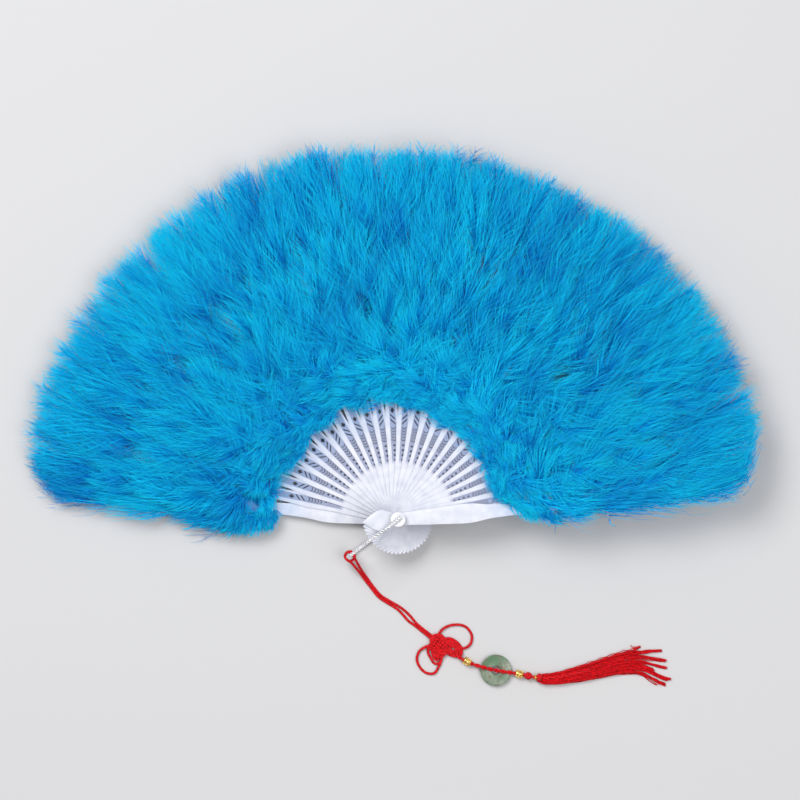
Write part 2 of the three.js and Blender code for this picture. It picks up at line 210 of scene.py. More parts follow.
def grain_group() -> bpy.types.NodeTree:
    """Builds the shared surface grain: a mottled mask, and relief of the same pattern.

    Returns:
        The node group, with inputs Scale and Depth, and outputs Mask and Normal.
    """
    tree = bpy.data.node_groups.new("surface_grain", "ShaderNodeTree")
    for name in ("Scale", "Depth"):
        tree.interface.new_socket(name, in_out="INPUT", socket_type="NodeSocketFloat")
    tree.interface.new_socket("Mask", in_out="OUTPUT", socket_type="NodeSocketFloat")
    tree.interface.new_socket("Normal", in_out="OUTPUT", socket_type="NodeSocketVector")
    nodes, links = tree.nodes, tree.links
    entry = nodes.new("NodeGroupInput")
    leave = nodes.new("NodeGroupOutput")
    place = nodes.new("ShaderNodeTexCoord")
    noise = nodes.new("ShaderNodeTexNoise")
    noise.inputs["Detail"].default_value = 4.0
    bump = nodes.new("ShaderNodeBump")
    bump.inputs["Distance"].default_value = 0.2 * MM
    links.new(place.outputs["Object"], noise.inputs["Vector"])
    links.new(entry.outputs["Scale"], noise.inputs["Scale"])
    links.new(noise.outputs["Fac"], bump.inputs["Height"])
    links.new(entry.outputs["Depth"], bump.inputs["Strength"])
    links.new(noise.outputs["Fac"], leave.inputs["Mask"])
    links.new(bump.outputs["Normal"], leave.inputs["Normal"])
    return tree


@dataclass(frozen=True)
class Look:
    """A finish together with the record's slot that it belongs to."""

    material: bpy.types.Material
    slot: Slot


@dataclass(frozen=True)
class DownFinish:
    """Dyed down with painted light: painted shade deep at the root, a painted highlight bright and a little
    greener at the tip, pale along the quill.
    """

    # The root colour is painted shade, where strands lie deep under others; the tip colour is a painted
    # highlight at the feather ends.
    root: Colour = (0.0, 0.24, 0.96, 1.0)
    middle: Colour = (0.0, 0.59, 1.0, 1.0)
    tip: Colour = (0.006, 0.79, 1.0, 1.0)
    # The tint ramp is painted shade: low tints darken whole patches of down, standing in for the shade
    # between tufts; the middle of the ramp leaves the colour nearly as it is.
    deep_painted_shade: Colour = (0.30, 0.34, 0.70, 1.0)
    unshaded_tint: Colour = (0.95, 0.92, 1.0, 1.0)
    quill: Colour = (0.12, 0.70, 1.0, 1.0)
    sheen_tint: Colour = (0.02, 0.62, 1.0, 1.0)
    quill_tint: float = 0.93

    def look(self) -> Look:
        """Builds the finish. It reads the strand map: tint across, place along the strand upwards."""
        shader = Shader("dyed_down")
        tint, along = shader.strand_place()
        # Painted shade at the root and a painted highlight at the tip, along each strand.
        root_shade_tip_highlight = shader.ramp(along, [(0.1, self.root), (0.5, self.middle), (1.0, self.tip)])
        # Painted shade in patches, read from the tint across the strand.
        painted_down_shade = shader.ramp(tint, [(0.0, self.deep_painted_shade), (0.55, self.unshaded_tint), (0.9, WHITE)])
        dye_with_painted_light = shader.mix("MULTIPLY", 1.0, root_shade_tip_highlight, painted_down_shade)
        whole = shader.mix("MIX", shader.above(tint, self.quill_tint), dye_with_painted_light, self.quill)
        shader.surface(
            base_color=whole, roughness=0.6, specular_ior_level=0.15, sheen_weight=1.0,
            sheen_roughness=0.4, sheen_tint=self.sheen_tint,
        )
        return Look(shader.material, Slot.FLUFF)


@dataclass(frozen=True)
class PlasticFinish:
    """Moulded white plastic with a cool cast and faint flow marks, with painted shade along each stave's
    pierced strip and painted blue shade where the down lies over the sticks.
    """

    low: Colour = (0.60, 0.62, 0.71, 1.0)
    high: Colour = (0.70, 0.71, 0.78, 1.0)
    # The strip colour is painted shade: it darkens each stave's pierced strip to a lavender grey, standing in
    # for the shade between overlapping staves.
    strip: Colour = (0.43, 0.47, 0.61, 1.0)
    strip_middle: float = 0.475
    strip_half: float = 0.105
    strip_soft: float = 0.012
    strip_start: float = 0.185
    start_soft: float = 0.015
    # This blue is painted shade: the deep blue that the down's shade gives the outer part of the sticks,
    # mixed in from faint_start outwards.
    painted_down_shade: Colour = (0.0, 0.27, 0.66, 1.0)
    faint_start: float = 0.28
    down_shade_start: float = 0.42
    down_shade_end: float = 0.47
    down_shade_faint: Colour = (0.30, 0.30, 0.30, 1.0)
    down_shade_most: Colour = (0.9, 0.9, 0.9, 1.0)

    def look(self, grain: bpy.types.NodeTree) -> Look:
        """Builds the finish. The stick map runs from the rivet outwards and from edge to edge.

        The outer part, to which the down is tied, is painted blue: painted shade of the down lying over it.
        """
        shader = Shader("white_plastic")
        mask, normal = shader.grain(grain, scale=160.0, depth=0.16)
        cast = shader.ramp(mask, [(0.35, self.low), (0.65, self.high)])
        outwards, across = shader.strand_place()
        left, right = self.strip_middle - self.strip_half, self.strip_middle + self.strip_half
        # Painted shade along the pierced strip, from strip_start outwards.
        thin = shader.ramp(across, [
            (left - self.strip_soft, WHITE), (left + self.strip_soft, self.strip),
            (right - self.strip_soft, self.strip), (right + self.strip_soft, WHITE),
        ])
        far = shader.ramp(outwards, [(self.strip_start, BLACK), (self.strip_start + self.start_soft, WHITE)])
        strip_shaded_plastic = shader.mix("MULTIPLY", far, cast, thin)
        # Painted shade of the down over the outer part of each stick.
        under = shader.ramp(outwards, [
            (self.faint_start, BLACK), (self.down_shade_start, self.down_shade_faint), (self.down_shade_end, self.down_shade_most),
        ])
        whole = shader.mix("MIX", under, strip_shaded_plastic, self.painted_down_shade)
        shader.surface(base_color=whole, normal=normal, roughness=0.34, coat_weight=0.12, coat_roughness=0.25)
        return Look(shader.material, Slot.STICK)


@dataclass(frozen=True)
class GrainedFinish:
    """A finish whose colour and relief follow one fine grain, such as silk, tinsel or plating."""

    name: str
    slot: Slot
    dull: Colour
    bright: Colour
    turn: tuple[float, float]
    scale: float
    depth: float
    roughness: float
    metallic: float = 0.0
    gloss: float = 0.5

    def look(self, grain: bpy.types.NodeTree) -> Look:
        """Builds the finish."""
        shader = Shader(self.name)
        mask, normal = shader.grain(grain, self.scale, self.depth)
        low, high = self.turn
        tone = shader.ramp(mask, [(low, self.dull), (high, self.bright)])
        shader.surface(
            base_color=tone, normal=normal, roughness=self.roughness, metallic=self.metallic,
            specular_ior_level=self.gloss,
        )
        return Look(shader.material, self.slot)


@dataclass(frozen=True)
class JadeFinish:
    """Mottled green stone with brown veins and a waxy polish."""

    green: Colour = (0.07, 0.17, 0.08, 1.0)
    pale: Colour = (0.15, 0.21, 0.14, 1.0)
    milky: Colour = (0.24, 0.28, 0.20, 1.0)
    brown: Colour = (0.13, 0.13, 0.08, 1.0)

    def look(self, grain: bpy.types.NodeTree) -> Look:
        """Builds the finish."""
        shader = Shader("mottled_jade")
        cloud, relief = shader.grain(grain, scale=150.0, depth=0.06)
        vein, _ = shader.grain(grain, scale=420.0, depth=0.1)
        stone = shader.ramp(cloud, [(0.38, self.green), (0.5, self.pale), (0.64, self.milky)])
        veins = shader.ramp(vein, [(0.36, WHITE), (0.5, BLACK)])
        whole = shader.mix("MIX", veins, stone, self.brown)
        shader.surface(base_color=whole, normal=relief, roughness=0.28, coat_weight=0.3, coat_roughness=0.15)
        return Look(shader.material, Slot.JADE)


SILVER_THREAD = GrainedFinish(
    name="silver_thread", slot=Slot.SILVER, dull=(0.20, 0.20, 0.23, 1.0), bright=(0.92, 0.92, 0.94, 1.0),
    turn=(0.38, 0.50), scale=1500.0, depth=0.8, roughness=0.3, metallic=0.35,
)
STEEL = GrainedFinish(
    name="rivet_steel", slot=Slot.SILVER, dull=(0.70, 0.71, 0.77, 1.0), bright=(0.78, 0.79, 0.84, 1.0),
    turn=(0.35, 0.6), scale=500.0, depth=0.12, roughness=0.35, metallic=0.25,
)
RED_SILK = GrainedFinish(
    name="red_silk", slot=Slot.RED_CORD, dull=(0.26, 0.001, 0.004, 1.0), bright=(0.80, 0.004, 0.010, 1.0),
    turn=(0.36, 0.60), scale=1300.0, depth=0.5, roughness=0.6, gloss=0.25,
)
GOLD_PLATE = GrainedFinish(
    name="gold_plate", slot=Slot.GOLD, dull=(0.60, 0.33, 0.07, 1.0), bright=(0.98, 0.70, 0.24, 1.0),
    turn=(0.36, 0.52), scale=900.0, depth=0.25, roughness=0.24, metallic=1.0,
)


@dataclass(frozen=True)
class Wardrobe:
    """Every finish, each built once."""

    down: Look
    plastic: Look
    silver: Look
    steel: Look
    silk: Look
    gold: Look
    jade: Look

    @classmethod
    def build(cls) -> Wardrobe:
        """Builds all the finishes."""
        grain = grain_group()
        return cls(
            down=DownFinish().look(),
            plastic=PlasticFinish().look(grain),
            silver=SILVER_THREAD.look(grain),
            steel=STEEL.look(grain),
            silk=RED_SILK.look(grain),
            gold=GOLD_PLATE.look(grain),
            jade=JadeFinish().look(grain),
        )


# Shared geometry


def unit(vectors: np.ndarray) -> np.ndarray:
    """Scales vectors to length 1 along their last axis."""
    return vectors / np.maximum(np.linalg.norm(vectors, axis=-1, keepdims=True), 1e-12)


def distances(path: np.ndarray) -> np.ndarray:
    """Measures how far along a path each of its points lies."""
    return np.concatenate(([0.0], np.cumsum(np.linalg.norm(np.diff(path, axis=0), axis=1))))


def bridged(t: np.ndarray, start: np.ndarray, end: np.ndarray, leave: np.ndarray,
            arrive: np.ndarray) -> np.ndarray:
    """Blends from starts to ends with a cubic.

    Args:
        t: Places from 0 at the start to 1 at the end.
        start: Points that it starts from.
        end: Points that it ends at.
        leave: Slopes at the starts.
        arrive: Slopes at the ends.

    Returns:
        The points in between.
    """
    near = (2 * t**3 - 3 * t**2 + 1) * start + (t**3 - 2 * t**2 + t) * leave
    return near + (3 * t**2 - 2 * t**3) * end + (t**3 - t**2) * arrive


def smooth_route(points: Sequence[Sequence[float]], step: float) -> np.ndarray:
    """Runs a smooth curve through given points.

    Args:
        points: The points, in metres.
        step: Distance between two points of the result, in metres.

    Returns:
        Evenly spaced points of the curve.
    """
    given = np.asarray(points, float)
    places = distances(given)
    slopes = np.gradient(given, places, axis=0)
    wanted = np.linspace(0.0, places[-1], max(3, round(places[-1] / step) + 1))
    index = np.clip(np.searchsorted(places, wanted, side="right") - 1, 0, len(given) - 2)
    span = (places[index + 1] - places[index])[:, None]
    t = (wanted - places[index])[:, None] / span
    return bridged(t, given[index], given[index + 1], slopes[index] * span, slopes[index + 1] * span)


def traced(points: Sequence[Sequence[float]], step: float) -> np.ndarray:
    """Runs a smooth curve through points that are in millimetres, and gives it in metres."""
    return smooth_route(np.array(points) / MM_IN_METRE, step)


def carried_frames(path: np.ndarray) -> tuple[np.ndarray, np.ndarray]:
    """Carries two directions square to a path along it, without twist.

    Args:
        path: Points of the path.

    Returns:
        Two arrays of unit vectors, square to the path and to each other.
    """
    tangents = unit(np.gradient(path, axis=0))
    spare = np.array([0.0, 0.0, 1.0]) if abs(tangents[0, 2]) < 0.9 else np.array([1.0, 0.0, 0.0])
    normals = np.empty_like(path)
    normals[0] = unit(np.cross(tangents[0], spare))
    for i in range(1, len(path)):
        kept = normals[i - 1] - tangents[i] * np.dot(normals[i - 1], tangents[i])
        normals[i] = unit(kept)
    return normals, np.cross(tangents, normals)


def plies(path: np.ndarray, count: int, offset: float, pitch: float) -> list[np.ndarray]:
    """Winds plies round a path.

    Args:
        path: Points of the middle line.
        count: Number of plies.
        offset: Distance from the middle line to each ply.
        pitch: Length of one turn.

    Returns:
        The middle line of each ply.
    """
    normals, sides = carried_frames(path)
    gone = distances(path)
    lines = []
    for number in range(count):
        turn = (FULL_TURN * (gone / pitch + number / count))[:, None]
        lines.append(path + offset * (np.cos(turn) * normals + np.sin(turn) * sides))
    return lines


def round_axis(radius: float | np.ndarray, turns: np.ndarray, height: float | np.ndarray) -> np.ndarray:
    """Gives points round the Z axis, from their radius, their turn in radians and their height."""
    height = np.broadcast_to(height, turns.shape)
    return np.stack([radius * np.cos(turns), radius * np.sin(turns), height], axis=1)


def ring_line(radius: float, height: float, sides: int) -> np.ndarray:
    """Gives the points of a circle about the Z axis."""
    return round_axis(radius, np.linspace(0.0, FULL_TURN, sides, endpoint=False), height)


def tubes(name: str, lines: Iterable[np.ndarray], radius: float, resolution: int = 1,
          closed: bool = False) -> Shape:
    """Makes round strands along lines, with closed ends.

    Args:
        name: Name of the curve that shapes them.
        lines: Middle line of each strand.
        radius: Radius of the strands.
        resolution: Steps round a strand: 0 gives 4 sides, 1 gives 6 and so on.
        closed: Whether each line joins up with itself.

    Returns:
        A mesh of all the strands.
    """
    curve = bpy.data.curves.new(name, "CURVE")
    curve.dimensions = "3D"
    curve.bevel_depth = 1.0
    curve.bevel_resolution = resolution
    curve.use_fill_caps = not closed
    for line in lines:
        spline = curve.splines.new("POLY")
        spline.points.add(len(line) - 1)
        spline.points.foreach_set("co", np.column_stack([line, np.ones(len(line))]).ravel())
        spline.points.foreach_set("radius", np.full(len(line), radius))
        spline.use_cyclic_u = closed
    holder = bpy.data.objects.new(name, curve)
    mesh = bpy.data.meshes.new_from_object(holder)
    shape = bmesh.new()
    shape.from_mesh(mesh)
    bpy.data.objects.remove(holder)
    bpy.data.curves.remove(curve)
    bpy.data.meshes.remove(mesh)
    bmesh.ops.remove_doubles(shape, verts=shape.verts, dist=MERGE_DISTANCE)
    bmesh.ops.recalc_face_normals(shape, faces=shape.faces)
    return shape


def turned(profile: Sequence[tuple[float, float]], steps: int, ring: bool = False) -> Shape:
    """Spins a profile about the Z axis.

    Args:
        profile: Points of radius and height, in metres.
        steps: Steps of the full turn.
        ring: Whether the profile closes on itself, as a ring's does.

    Returns:
        The closed shape.
    """
    shape = bmesh.new()
    verts = [shape.verts.new((radius, 0.0, height)) for radius, height in profile]
    pairs = list(zip(verts, verts[1:] + verts[:1])) if ring else list(zip(verts, verts[1:]))
    edges = [shape.edges.new(pair) for pair in pairs]
    bmesh.ops.spin(
        shape, geom=verts + edges, cent=(0.0, 0.0, 0.0), axis=(0.0, 0.0, 1.0),
        angle=FULL_TURN, steps=steps, use_merge=True,
    )
    bmesh.ops.remove_doubles(shape, verts=shape.verts, dist=MERGE_DISTANCE)
    bmesh.ops.recalc_face_normals(shape, faces=shape.faces)
    return shape


def joined(*shapes: Shape) -> Shape:
    """Puts shapes together in the first one, and frees the others."""
    whole = shapes[0]
    for shape in shapes[1:]:
        carrier = bpy.data.meshes.new("carrier")
        shape.to_mesh(carrier)
        shape.free()
        whole.from_mesh(carrier)
        bpy.data.meshes.remove(carrier)
    return whole


def moved(shape: Shape, matrix: Matrix) -> Shape:
    """Moves a shape by a matrix."""
    bmesh.ops.transform(shape, matrix=matrix, verts=shape.verts)
    return shape


def along_cord(place: Point, angle: float) -> Matrix:
    """Gives the matrix that lays a shape's +Z along the cord.

    Args:
        place: Where the shape's origin goes, in metres.
        angle: The cord's direction on the table, in degrees.

    Returns:
        The matrix.
    """
    turn = Matrix.Rotation(math.radians(angle), 4, "Z") @ Matrix.Rotation(math.pi / 2, 4, "Y")
    return Matrix.Translation(place) @ turn


def put(name: str, data: bpy.types.ID) -> bpy.types.Object:
    """Puts an object with the given mesh, lamp or camera data into the scene."""
    item = bpy.data.objects.new(name, data)
    bpy.context.scene.collection.objects.link(item)
    return item


def add_piece(name: str, mesh: bpy.types.Mesh, look: Look, body: str, *nodes: str) -> bpy.types.Object:
    """Adds a finished piece to the scene and to the frame.

    Args:
        name: The piece's name.
        mesh: Its mesh, already in place.
        look: Its finish.
        body: The body that it rides on.
        *nodes: CAD nodes that it stands for.

    Returns:
        The new object.
    """
    mesh.name = name
    mesh.materials.append(look.material)
    piece = put(name, mesh)
    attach(piece, body)
    if nodes:
        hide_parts(*nodes)
    LOG.info("%s: %d faces on %s", name, len(mesh.polygons), body)
    return piece


def to_mesh(shape: Shape, crease: float = 40.0) -> bpy.types.Mesh:
    """Turns a shape into a smooth mesh.

    Args:
        shape: The shape, which is freed.
        crease: Angle in degrees past which an edge stays sharp.

    Returns:
        The mesh.
    """
    mesh = bpy.data.meshes.new("piece")
    shape.to_mesh(mesh)
    shape.free()
    mesh.shade_smooth()
    mesh.set_sharp_from_angle(angle=math.radians(crease))
    return mesh


# The open fan


@dataclass(frozen=True)
class FanLayout:
    """Angles and heights of the sticks on the rivet, as the frame has them."""

    staves: int = 24
    front_angle: float = 5.0
    rear_angle: float = 175.0
    bail_angle: float = 217.0
    guard_thickness: float = 2.0 * MM
    stave_thickness: float = 0.7 * MM
    clearance: float = 0.3 * MM
    wire: float = 3.0 * MM
    head_thickness: float = 1.0 * MM

    @property
    def rear_arm(self) -> float:
        """Height of the bail's arm under the fan."""
        return self.head_thickness + self.clearance + self.wire / 2

    @property
    def rear_guard(self) -> float:
        """Height of the underside of the rear guard."""
        return self.rear_arm + self.wire / 2 + self.clearance

    @property
    def front_guard(self) -> float:
        """Height of the underside of the front guard."""
        return self.underside(self.staves + 1)

    @property
    def front_arm(self) -> float:
        """Height of the bail's arm on top of the fan."""
        return self.front_guard + self.guard_thickness + self.clearance + self.wire / 2

    @property
    def top(self) -> float:
        """Height of the top of the rivet."""
        return self.front_arm + self.wire / 2 + self.clearance + self.head_thickness

    def underside(self, number: int) -> float:
        """Height of the underside of a stick. The rear guard is 0 and the front guard comes last."""
        if number == 0:
            return self.rear_guard
        first = self.rear_guard + self.guard_thickness + self.clearance
        return first + (number - 1) * (self.stave_thickness + self.clearance)

    def angle(self, number: int) -> float:
        """Angle of a stick in degrees, counted as above."""
        share = number / (self.staves + 1)
        return self.rear_angle + (self.front_angle - self.rear_angle) * share

    def label(self, number: int, rear: str, stave: str, front: str) -> str:
        """Names something of a stick.

        Args:
            number: The stick, counted as above.
            rear: The name at the rear guard.
            stave: Start of the name at a stave, which its number follows.
            front: The name at the front guard.

        Returns:
            The name.
        """
        if number == 0:
            return rear
        return front if number > self.staves else f"{stave}_{number:02d}"

    def body(self, number: int) -> str:
        """Names the body that a stick rides on."""
        return self.label(number, "root", "stick", "front_stick")


LAYOUT = FanLayout()


@dataclass
class Sticks:
    """Two plain guards and the pierced staves between them, with leaf-shaped heads."""

    reach: float = 195.0 * MM
    tip_half: float = 2.2 * MM
    shank: tuple[float, float] = (76.0 * MM, 4.0 * MM)
    neck: tuple[float, float] = (62.0 * MM, 4.8 * MM)
    bulge_reach: float = 47.0 * MM
    guard_bulge: float = 6.6 * MM
    stave_bulge: float = 4.1 * MM
    waist_half: float = 4.3 * MM
    head: tuple[float, float] = (24.0 * MM, 7.0 * MM)
    tooth_pitch: float = 1.15 * MM
    tooth_height: float = 0.32 * MM
    tooth_start: float = -9.0 * MM
    edge_points: int = 150
    bore: float = 2.3 * MM
    bore_sides: int = 20
    stave_round: float = 0.12 * MM
    guard_round: float = 0.5 * MM
    rim_angle: float = 1.0
    map_reach: float = 200.0 * MM
    map_width: float = 20.0 * MM
    map_margin: float = 0.01
    plain_across: float = 0.02
    leans: tuple[int, ...] = (
        -1, 1, -1, 1, 1, -1, -1, 1, 1, 1, -1, 1, -1, 1, 1, -1, 1, 1, -1, 1, 1, -1, 1, 1,
    )
    dots: tuple[float, ...] = (40.0 * MM, 43.3 * MM, 46.6 * MM, 49.9 * MM)
    dot_radius: float = 0.75 * MM
    dot_sides: int = 8
    chevrons: tuple[float, ...] = (52.6 * MM, 54.6 * MM, 56.6 * MM, 58.6 * MM, 60.6 * MM)
    chevron_span: float = 1.73 * MM
    chevron_depth: float = 1.21 * MM
    chevron_stroke: float = 0.6 * MM
    slits: tuple[float, ...] = (65.4 * MM, 68.6 * MM)
    slit_width: float = 1.1 * MM
    slit_span_share: float = 0.4
    diamond: tuple[float, float] = (73.6 * MM, 2.0 * MM)
    diamond_share: float = 0.7
    piercing_offset: float = 0.5 * MM

    def shank_half(self, reach: float) -> float:
        """Half width of the straight outer shank at a distance from the rivet."""
        start, half = self.shank
        return half + (self.tip_half - half) * (reach - start) / (self.reach - start)

    def edge(self, bulge_y: float) -> np.ndarray:
        """Traces one edge of a stick from its tip to its finely serrated head.

        Args:
            bulge_y: Half width of the bulge past the rivet.

        Returns:
            Points of the edge, the last one on the middle line.
        """
        bulge_x = self.bulge_reach
        head_x, head_y = self.head
        marks = np.array([
            self.shank, self.neck, (bulge_x, bulge_y), (bulge_x / 2, (bulge_y + self.waist_half) / 2),
            (0.0, self.waist_half), (-head_x / 2, head_y), (-head_x, 0.0),
        ])
        places = np.linspace(0.0, len(marks) - 1.0, self.edge_points)
        index = np.minimum(places.astype(int), len(marks) - 2)
        before, start = marks[np.maximum(index - 1, 0)], marks[index]
        end, after = marks[index + 1], marks[np.minimum(index + 2, len(marks) - 1)]
        line = bridged((places - index)[:, None], start, end, (end - before) / 2, (after - start) / 2)
        along = unit(np.gradient(line, axis=0))
        rise = self.tooth_height * np.abs(np.sin(math.pi * distances(line) / self.tooth_pitch))
        rise = np.where((line[:, 0] < self.tooth_start) & (line[:, 1] > rise), rise, 0.0)
        line = line + rise[:, None] * np.stack([along[:, 1], -along[:, 0]], axis=1)
        return np.vstack([[self.reach, self.tip_half], line])

    def outline(self, bulge: float) -> list[tuple[float, float]]:
        """Gives the closed outline of a stick lying along +X, from its bulge's half width."""
        upper = self.edge(bulge)
        lower = upper[:-1][::-1] * [1.0, -1.0]
        return [tuple(point) for point in np.vstack([upper, lower])]

    def piercing(self, lean: int) -> list[list[tuple[float, float]]]:
        """Gives the holes of a stave: dots, chevrons, slanted slits and a diamond.

        Args:
            lean: Which way the slits slant, 1 or -1.

        Returns:
            The outline of each hole.
        """
        ring = ring_line(self.dot_radius, 0.0, self.dot_sides)
        holes = [[(x, y) for x, y, _ in ring + [dot, 0.0, 0.0]] for dot in self.dots]
        for reach in self.chevrons:
            span, depth, stroke = self.chevron_span, self.chevron_depth, self.chevron_stroke
            holes.append([
                (reach, 0.0), (reach + depth, span), (reach + depth + stroke, span),
                (reach + stroke, 0.0), (reach + depth + stroke, -span), (reach + depth, -span),
            ])
        for reach in self.slits:
            span = self.shank_half(reach) * self.slit_span_share
            slant = lean * span
            holes.append([
                (reach - slant, -span), (reach - slant + self.slit_width, -span),
                (reach + slant + self.slit_width, span), (reach + slant, span),
            ])
        reach, half = self.diamond
        across = half * self.diamond_share
        holes.append([(reach - half, 0.0), (reach, -across), (reach + half, 0.0), (reach, across)])
        return [[(x, y - self.piercing_offset) for x, y in hole] for hole in holes]

    def plate(self, bulge: float, holes: list[list[tuple[float, float]]], thickness: float,
              rounding: float) -> Shape:
        """Cuts a stick from a plate and rounds its edges.

        Args:
            bulge: Half width of its bulge.
            holes: Outlines of its holes, apart from the bore.
            thickness: Thickness of the plate.
            rounding: Width of the rounding.

        Returns:
            The stick, along +X from z = 0 up.
        """
        shape = bmesh.new()
        bore = [(x, y) for x, y, _ in ring_line(self.bore, 0.0, self.bore_sides)]
        for loop in [self.outline(bulge), bore, *holes]:
            verts = [shape.verts.new((x, y, 0.0)) for x, y in loop]
            for pair in zip(verts, verts[1:] + verts[:1]):
                shape.edges.new(pair)
        bmesh.ops.triangle_fill(shape, use_beauty=True, edges=shape.edges, normal=(0.0, 0.0, 1.0))
        raised = bmesh.ops.extrude_face_region(shape, geom=shape.faces[:])
        top = [item for item in raised["geom"] if isinstance(item, bmesh.types.BMVert)]
        bmesh.ops.translate(shape, vec=(0.0, 0.0, thickness), verts=top)
        bmesh.ops.recalc_face_normals(shape, faces=shape.faces)
        rims = [
            edge for edge in shape.edges
            if abs(edge.calc_face_angle(0.0)) > self.rim_angle
            and abs(edge.verts[0].co.z - edge.verts[1].co.z) < rounding
        ]
        bmesh.ops.bevel(
            shape, geom=rims, offset=rounding, offset_type="OFFSET", affect="EDGES", segments=2,
            profile=0.5, material=-1, clamp_overlap=True,
        )
        return shape

    def map_stick(self, mesh: bpy.types.Mesh, plain: bool) -> None:
        """Writes the stick map: from 0 at the rivet to 1 far out, and from edge to edge.

        Args:
            mesh: The stick, still along +X.
            plain: Whether the stick has no pierced strip, so that its map stays at one edge.
        """
        layer = mesh.uv_layers.new(name=STRAND_MAP)
        for corner in mesh.loops:
            place = mesh.vertices[corner.vertex_index].co
            outwards = min(max(place.x / self.map_reach, self.map_margin), 1.0 - self.map_margin)
            across = self.plain_across if plain else 0.5 + place.y / self.map_width
            layer.data[corner.index].uv = (outwards, across)

    def build(self, look: Look) -> None:
        """Builds every stick in its place on the rivet."""
        for number in range(LAYOUT.staves + 2):
            name = LAYOUT.label(number, "rear_guard", "stave", "front_guard")
            guard = name.endswith("guard")
            if guard:
                shape = self.plate(self.guard_bulge, [], LAYOUT.guard_thickness, self.guard_round)
            else:
                holes = self.piercing(self.leans[number - 1])
                shape = self.plate(self.stave_bulge, holes, LAYOUT.stave_thickness, self.stave_round)
            mesh = to_mesh(shape, crease=30.0)
            self.map_stick(mesh, guard)
            turn = Matrix.Rotation(math.radians(LAYOUT.angle(number)), 4, "Z")
            mesh.transform(Matrix.Translation((0.0, 0.0, LAYOUT.underside(number))) @ turn)
            add_piece(f"{name}_moulding", mesh, look, LAYOUT.body(number), name)


@dataclass
class Rivet:
    """The pin that the sticks turn on, with a rolled head at each end."""

    pin: float = 2.0 * MM
    head: float = 5.2 * MM
    roll: float = 0.45 * MM
    dish: float = 0.2 * MM
    rim: float = 3.9 * MM

    def build(self, look: Look) -> None:
        """Builds the rivet."""
        thick = LAYOUT.head_thickness
        under = [
            (0.0, self.dish), (self.rim - self.roll, self.dish), (self.rim, 0.0),
            (self.head - self.roll, 0.0), (self.head, self.roll), (self.head, thick), (self.pin, thick),
        ]
        over = [(radius, LAYOUT.top - height) for radius, height in reversed(under)]
        add_piece("rivet_pin", to_mesh(turned([*under, *over], steps=48), crease=35.0), look, "root", "rivet")


@dataclass
class Bail:
    """A loop of two silver threads twisted together, with an eye round each end of the rivet."""

    reach: float = 41.7 * MM
    corner: float = 6.0 * MM
    pin: float = 2.3 * MM
    ply: float = 0.64 * MM
    lay: float = 0.6 * MM
    pitch: float = 4.2 * MM
    step: float = 0.35 * MM
    eye_turns: int = 4
    eye_points: int = 72
    over_head: Pairs = (
        (-2.2 * MM, 3.6 * MM), (0.0, 4.3 * MM), (4.0 * MM, 4.3 * MM), (7.5 * MM, 2.6 * MM),
        (11.0 * MM, 0.6 * MM), (15.0 * MM, 0.0),
    )

    @property
    def eye(self) -> float:
        """Radius of the eyes' middle line."""
        return self.pin + LAYOUT.wire / 2

    def line(self) -> np.ndarray:
        """Traces the loop from its lower eye round the bow to its upper eye, along +X."""
        bend = self.corner * (1.0 - math.sqrt(0.5))
        low, high = LAYOUT.rear_arm, LAYOUT.front_arm

        def corner(height: float, way: int) -> list[Point]:
            """Gives the rounded corner at an arm's end, with the bow upwards (1) or downwards (-1)."""
            return [
                (self.reach - self.corner, 0.0, height), (self.reach - bend, 0.0, height + way * bend),
                (self.reach, 0.0, height + way * self.corner),
            ]

        return smooth_route([
            (self.eye, 0.0, low), (self.reach / 2, 0.0, low), *corner(low, 1),
            (self.reach, 0.0, (low + high) / 2), *corner(high, -1)[::-1],
            (self.reach / 2, 0.0, high), (self.eye, 0.0, high),
        ], self.step)

    def twisted(self, name: str, path: np.ndarray) -> Shape:
        """Twists two threads along a path."""
        return tubes(name, plies(path, 2, self.lay, self.pitch), self.ply, resolution=3)

    def build(self, look: Look) -> None:
        """Builds the bail."""
        whole = [self.twisted("bail_arms", self.line())]
        around = np.linspace(0.0, FULL_TURN, self.eye_points, endpoint=False)
        for height in (LAYOUT.rear_arm, LAYOUT.front_arm):
            for phase in (0.0, math.pi):
                twist = self.eye_turns * around + phase
                loop = round_axis(
                    self.eye + self.lay * np.cos(twist), around, height + self.lay * np.sin(twist),
                )
                whole.append(tubes("bail_eye", [loop], self.ply, resolution=3, closed=True))
        over = smooth_route([(x, 0.0, LAYOUT.front_arm + rise) for x, rise in self.over_head], self.step)
        whole.append(self.twisted("bail_over_head", over))
        turn = Matrix.Rotation(math.radians(LAYOUT.bail_angle), 4, "Z")
        shape = moved(joined(*whole), turn)
        add_piece("bail_thread", to_mesh(shape, crease=80.0), look, "bail_loop", "bail")


# The cord and what hangs on it, with its routes in millimetres


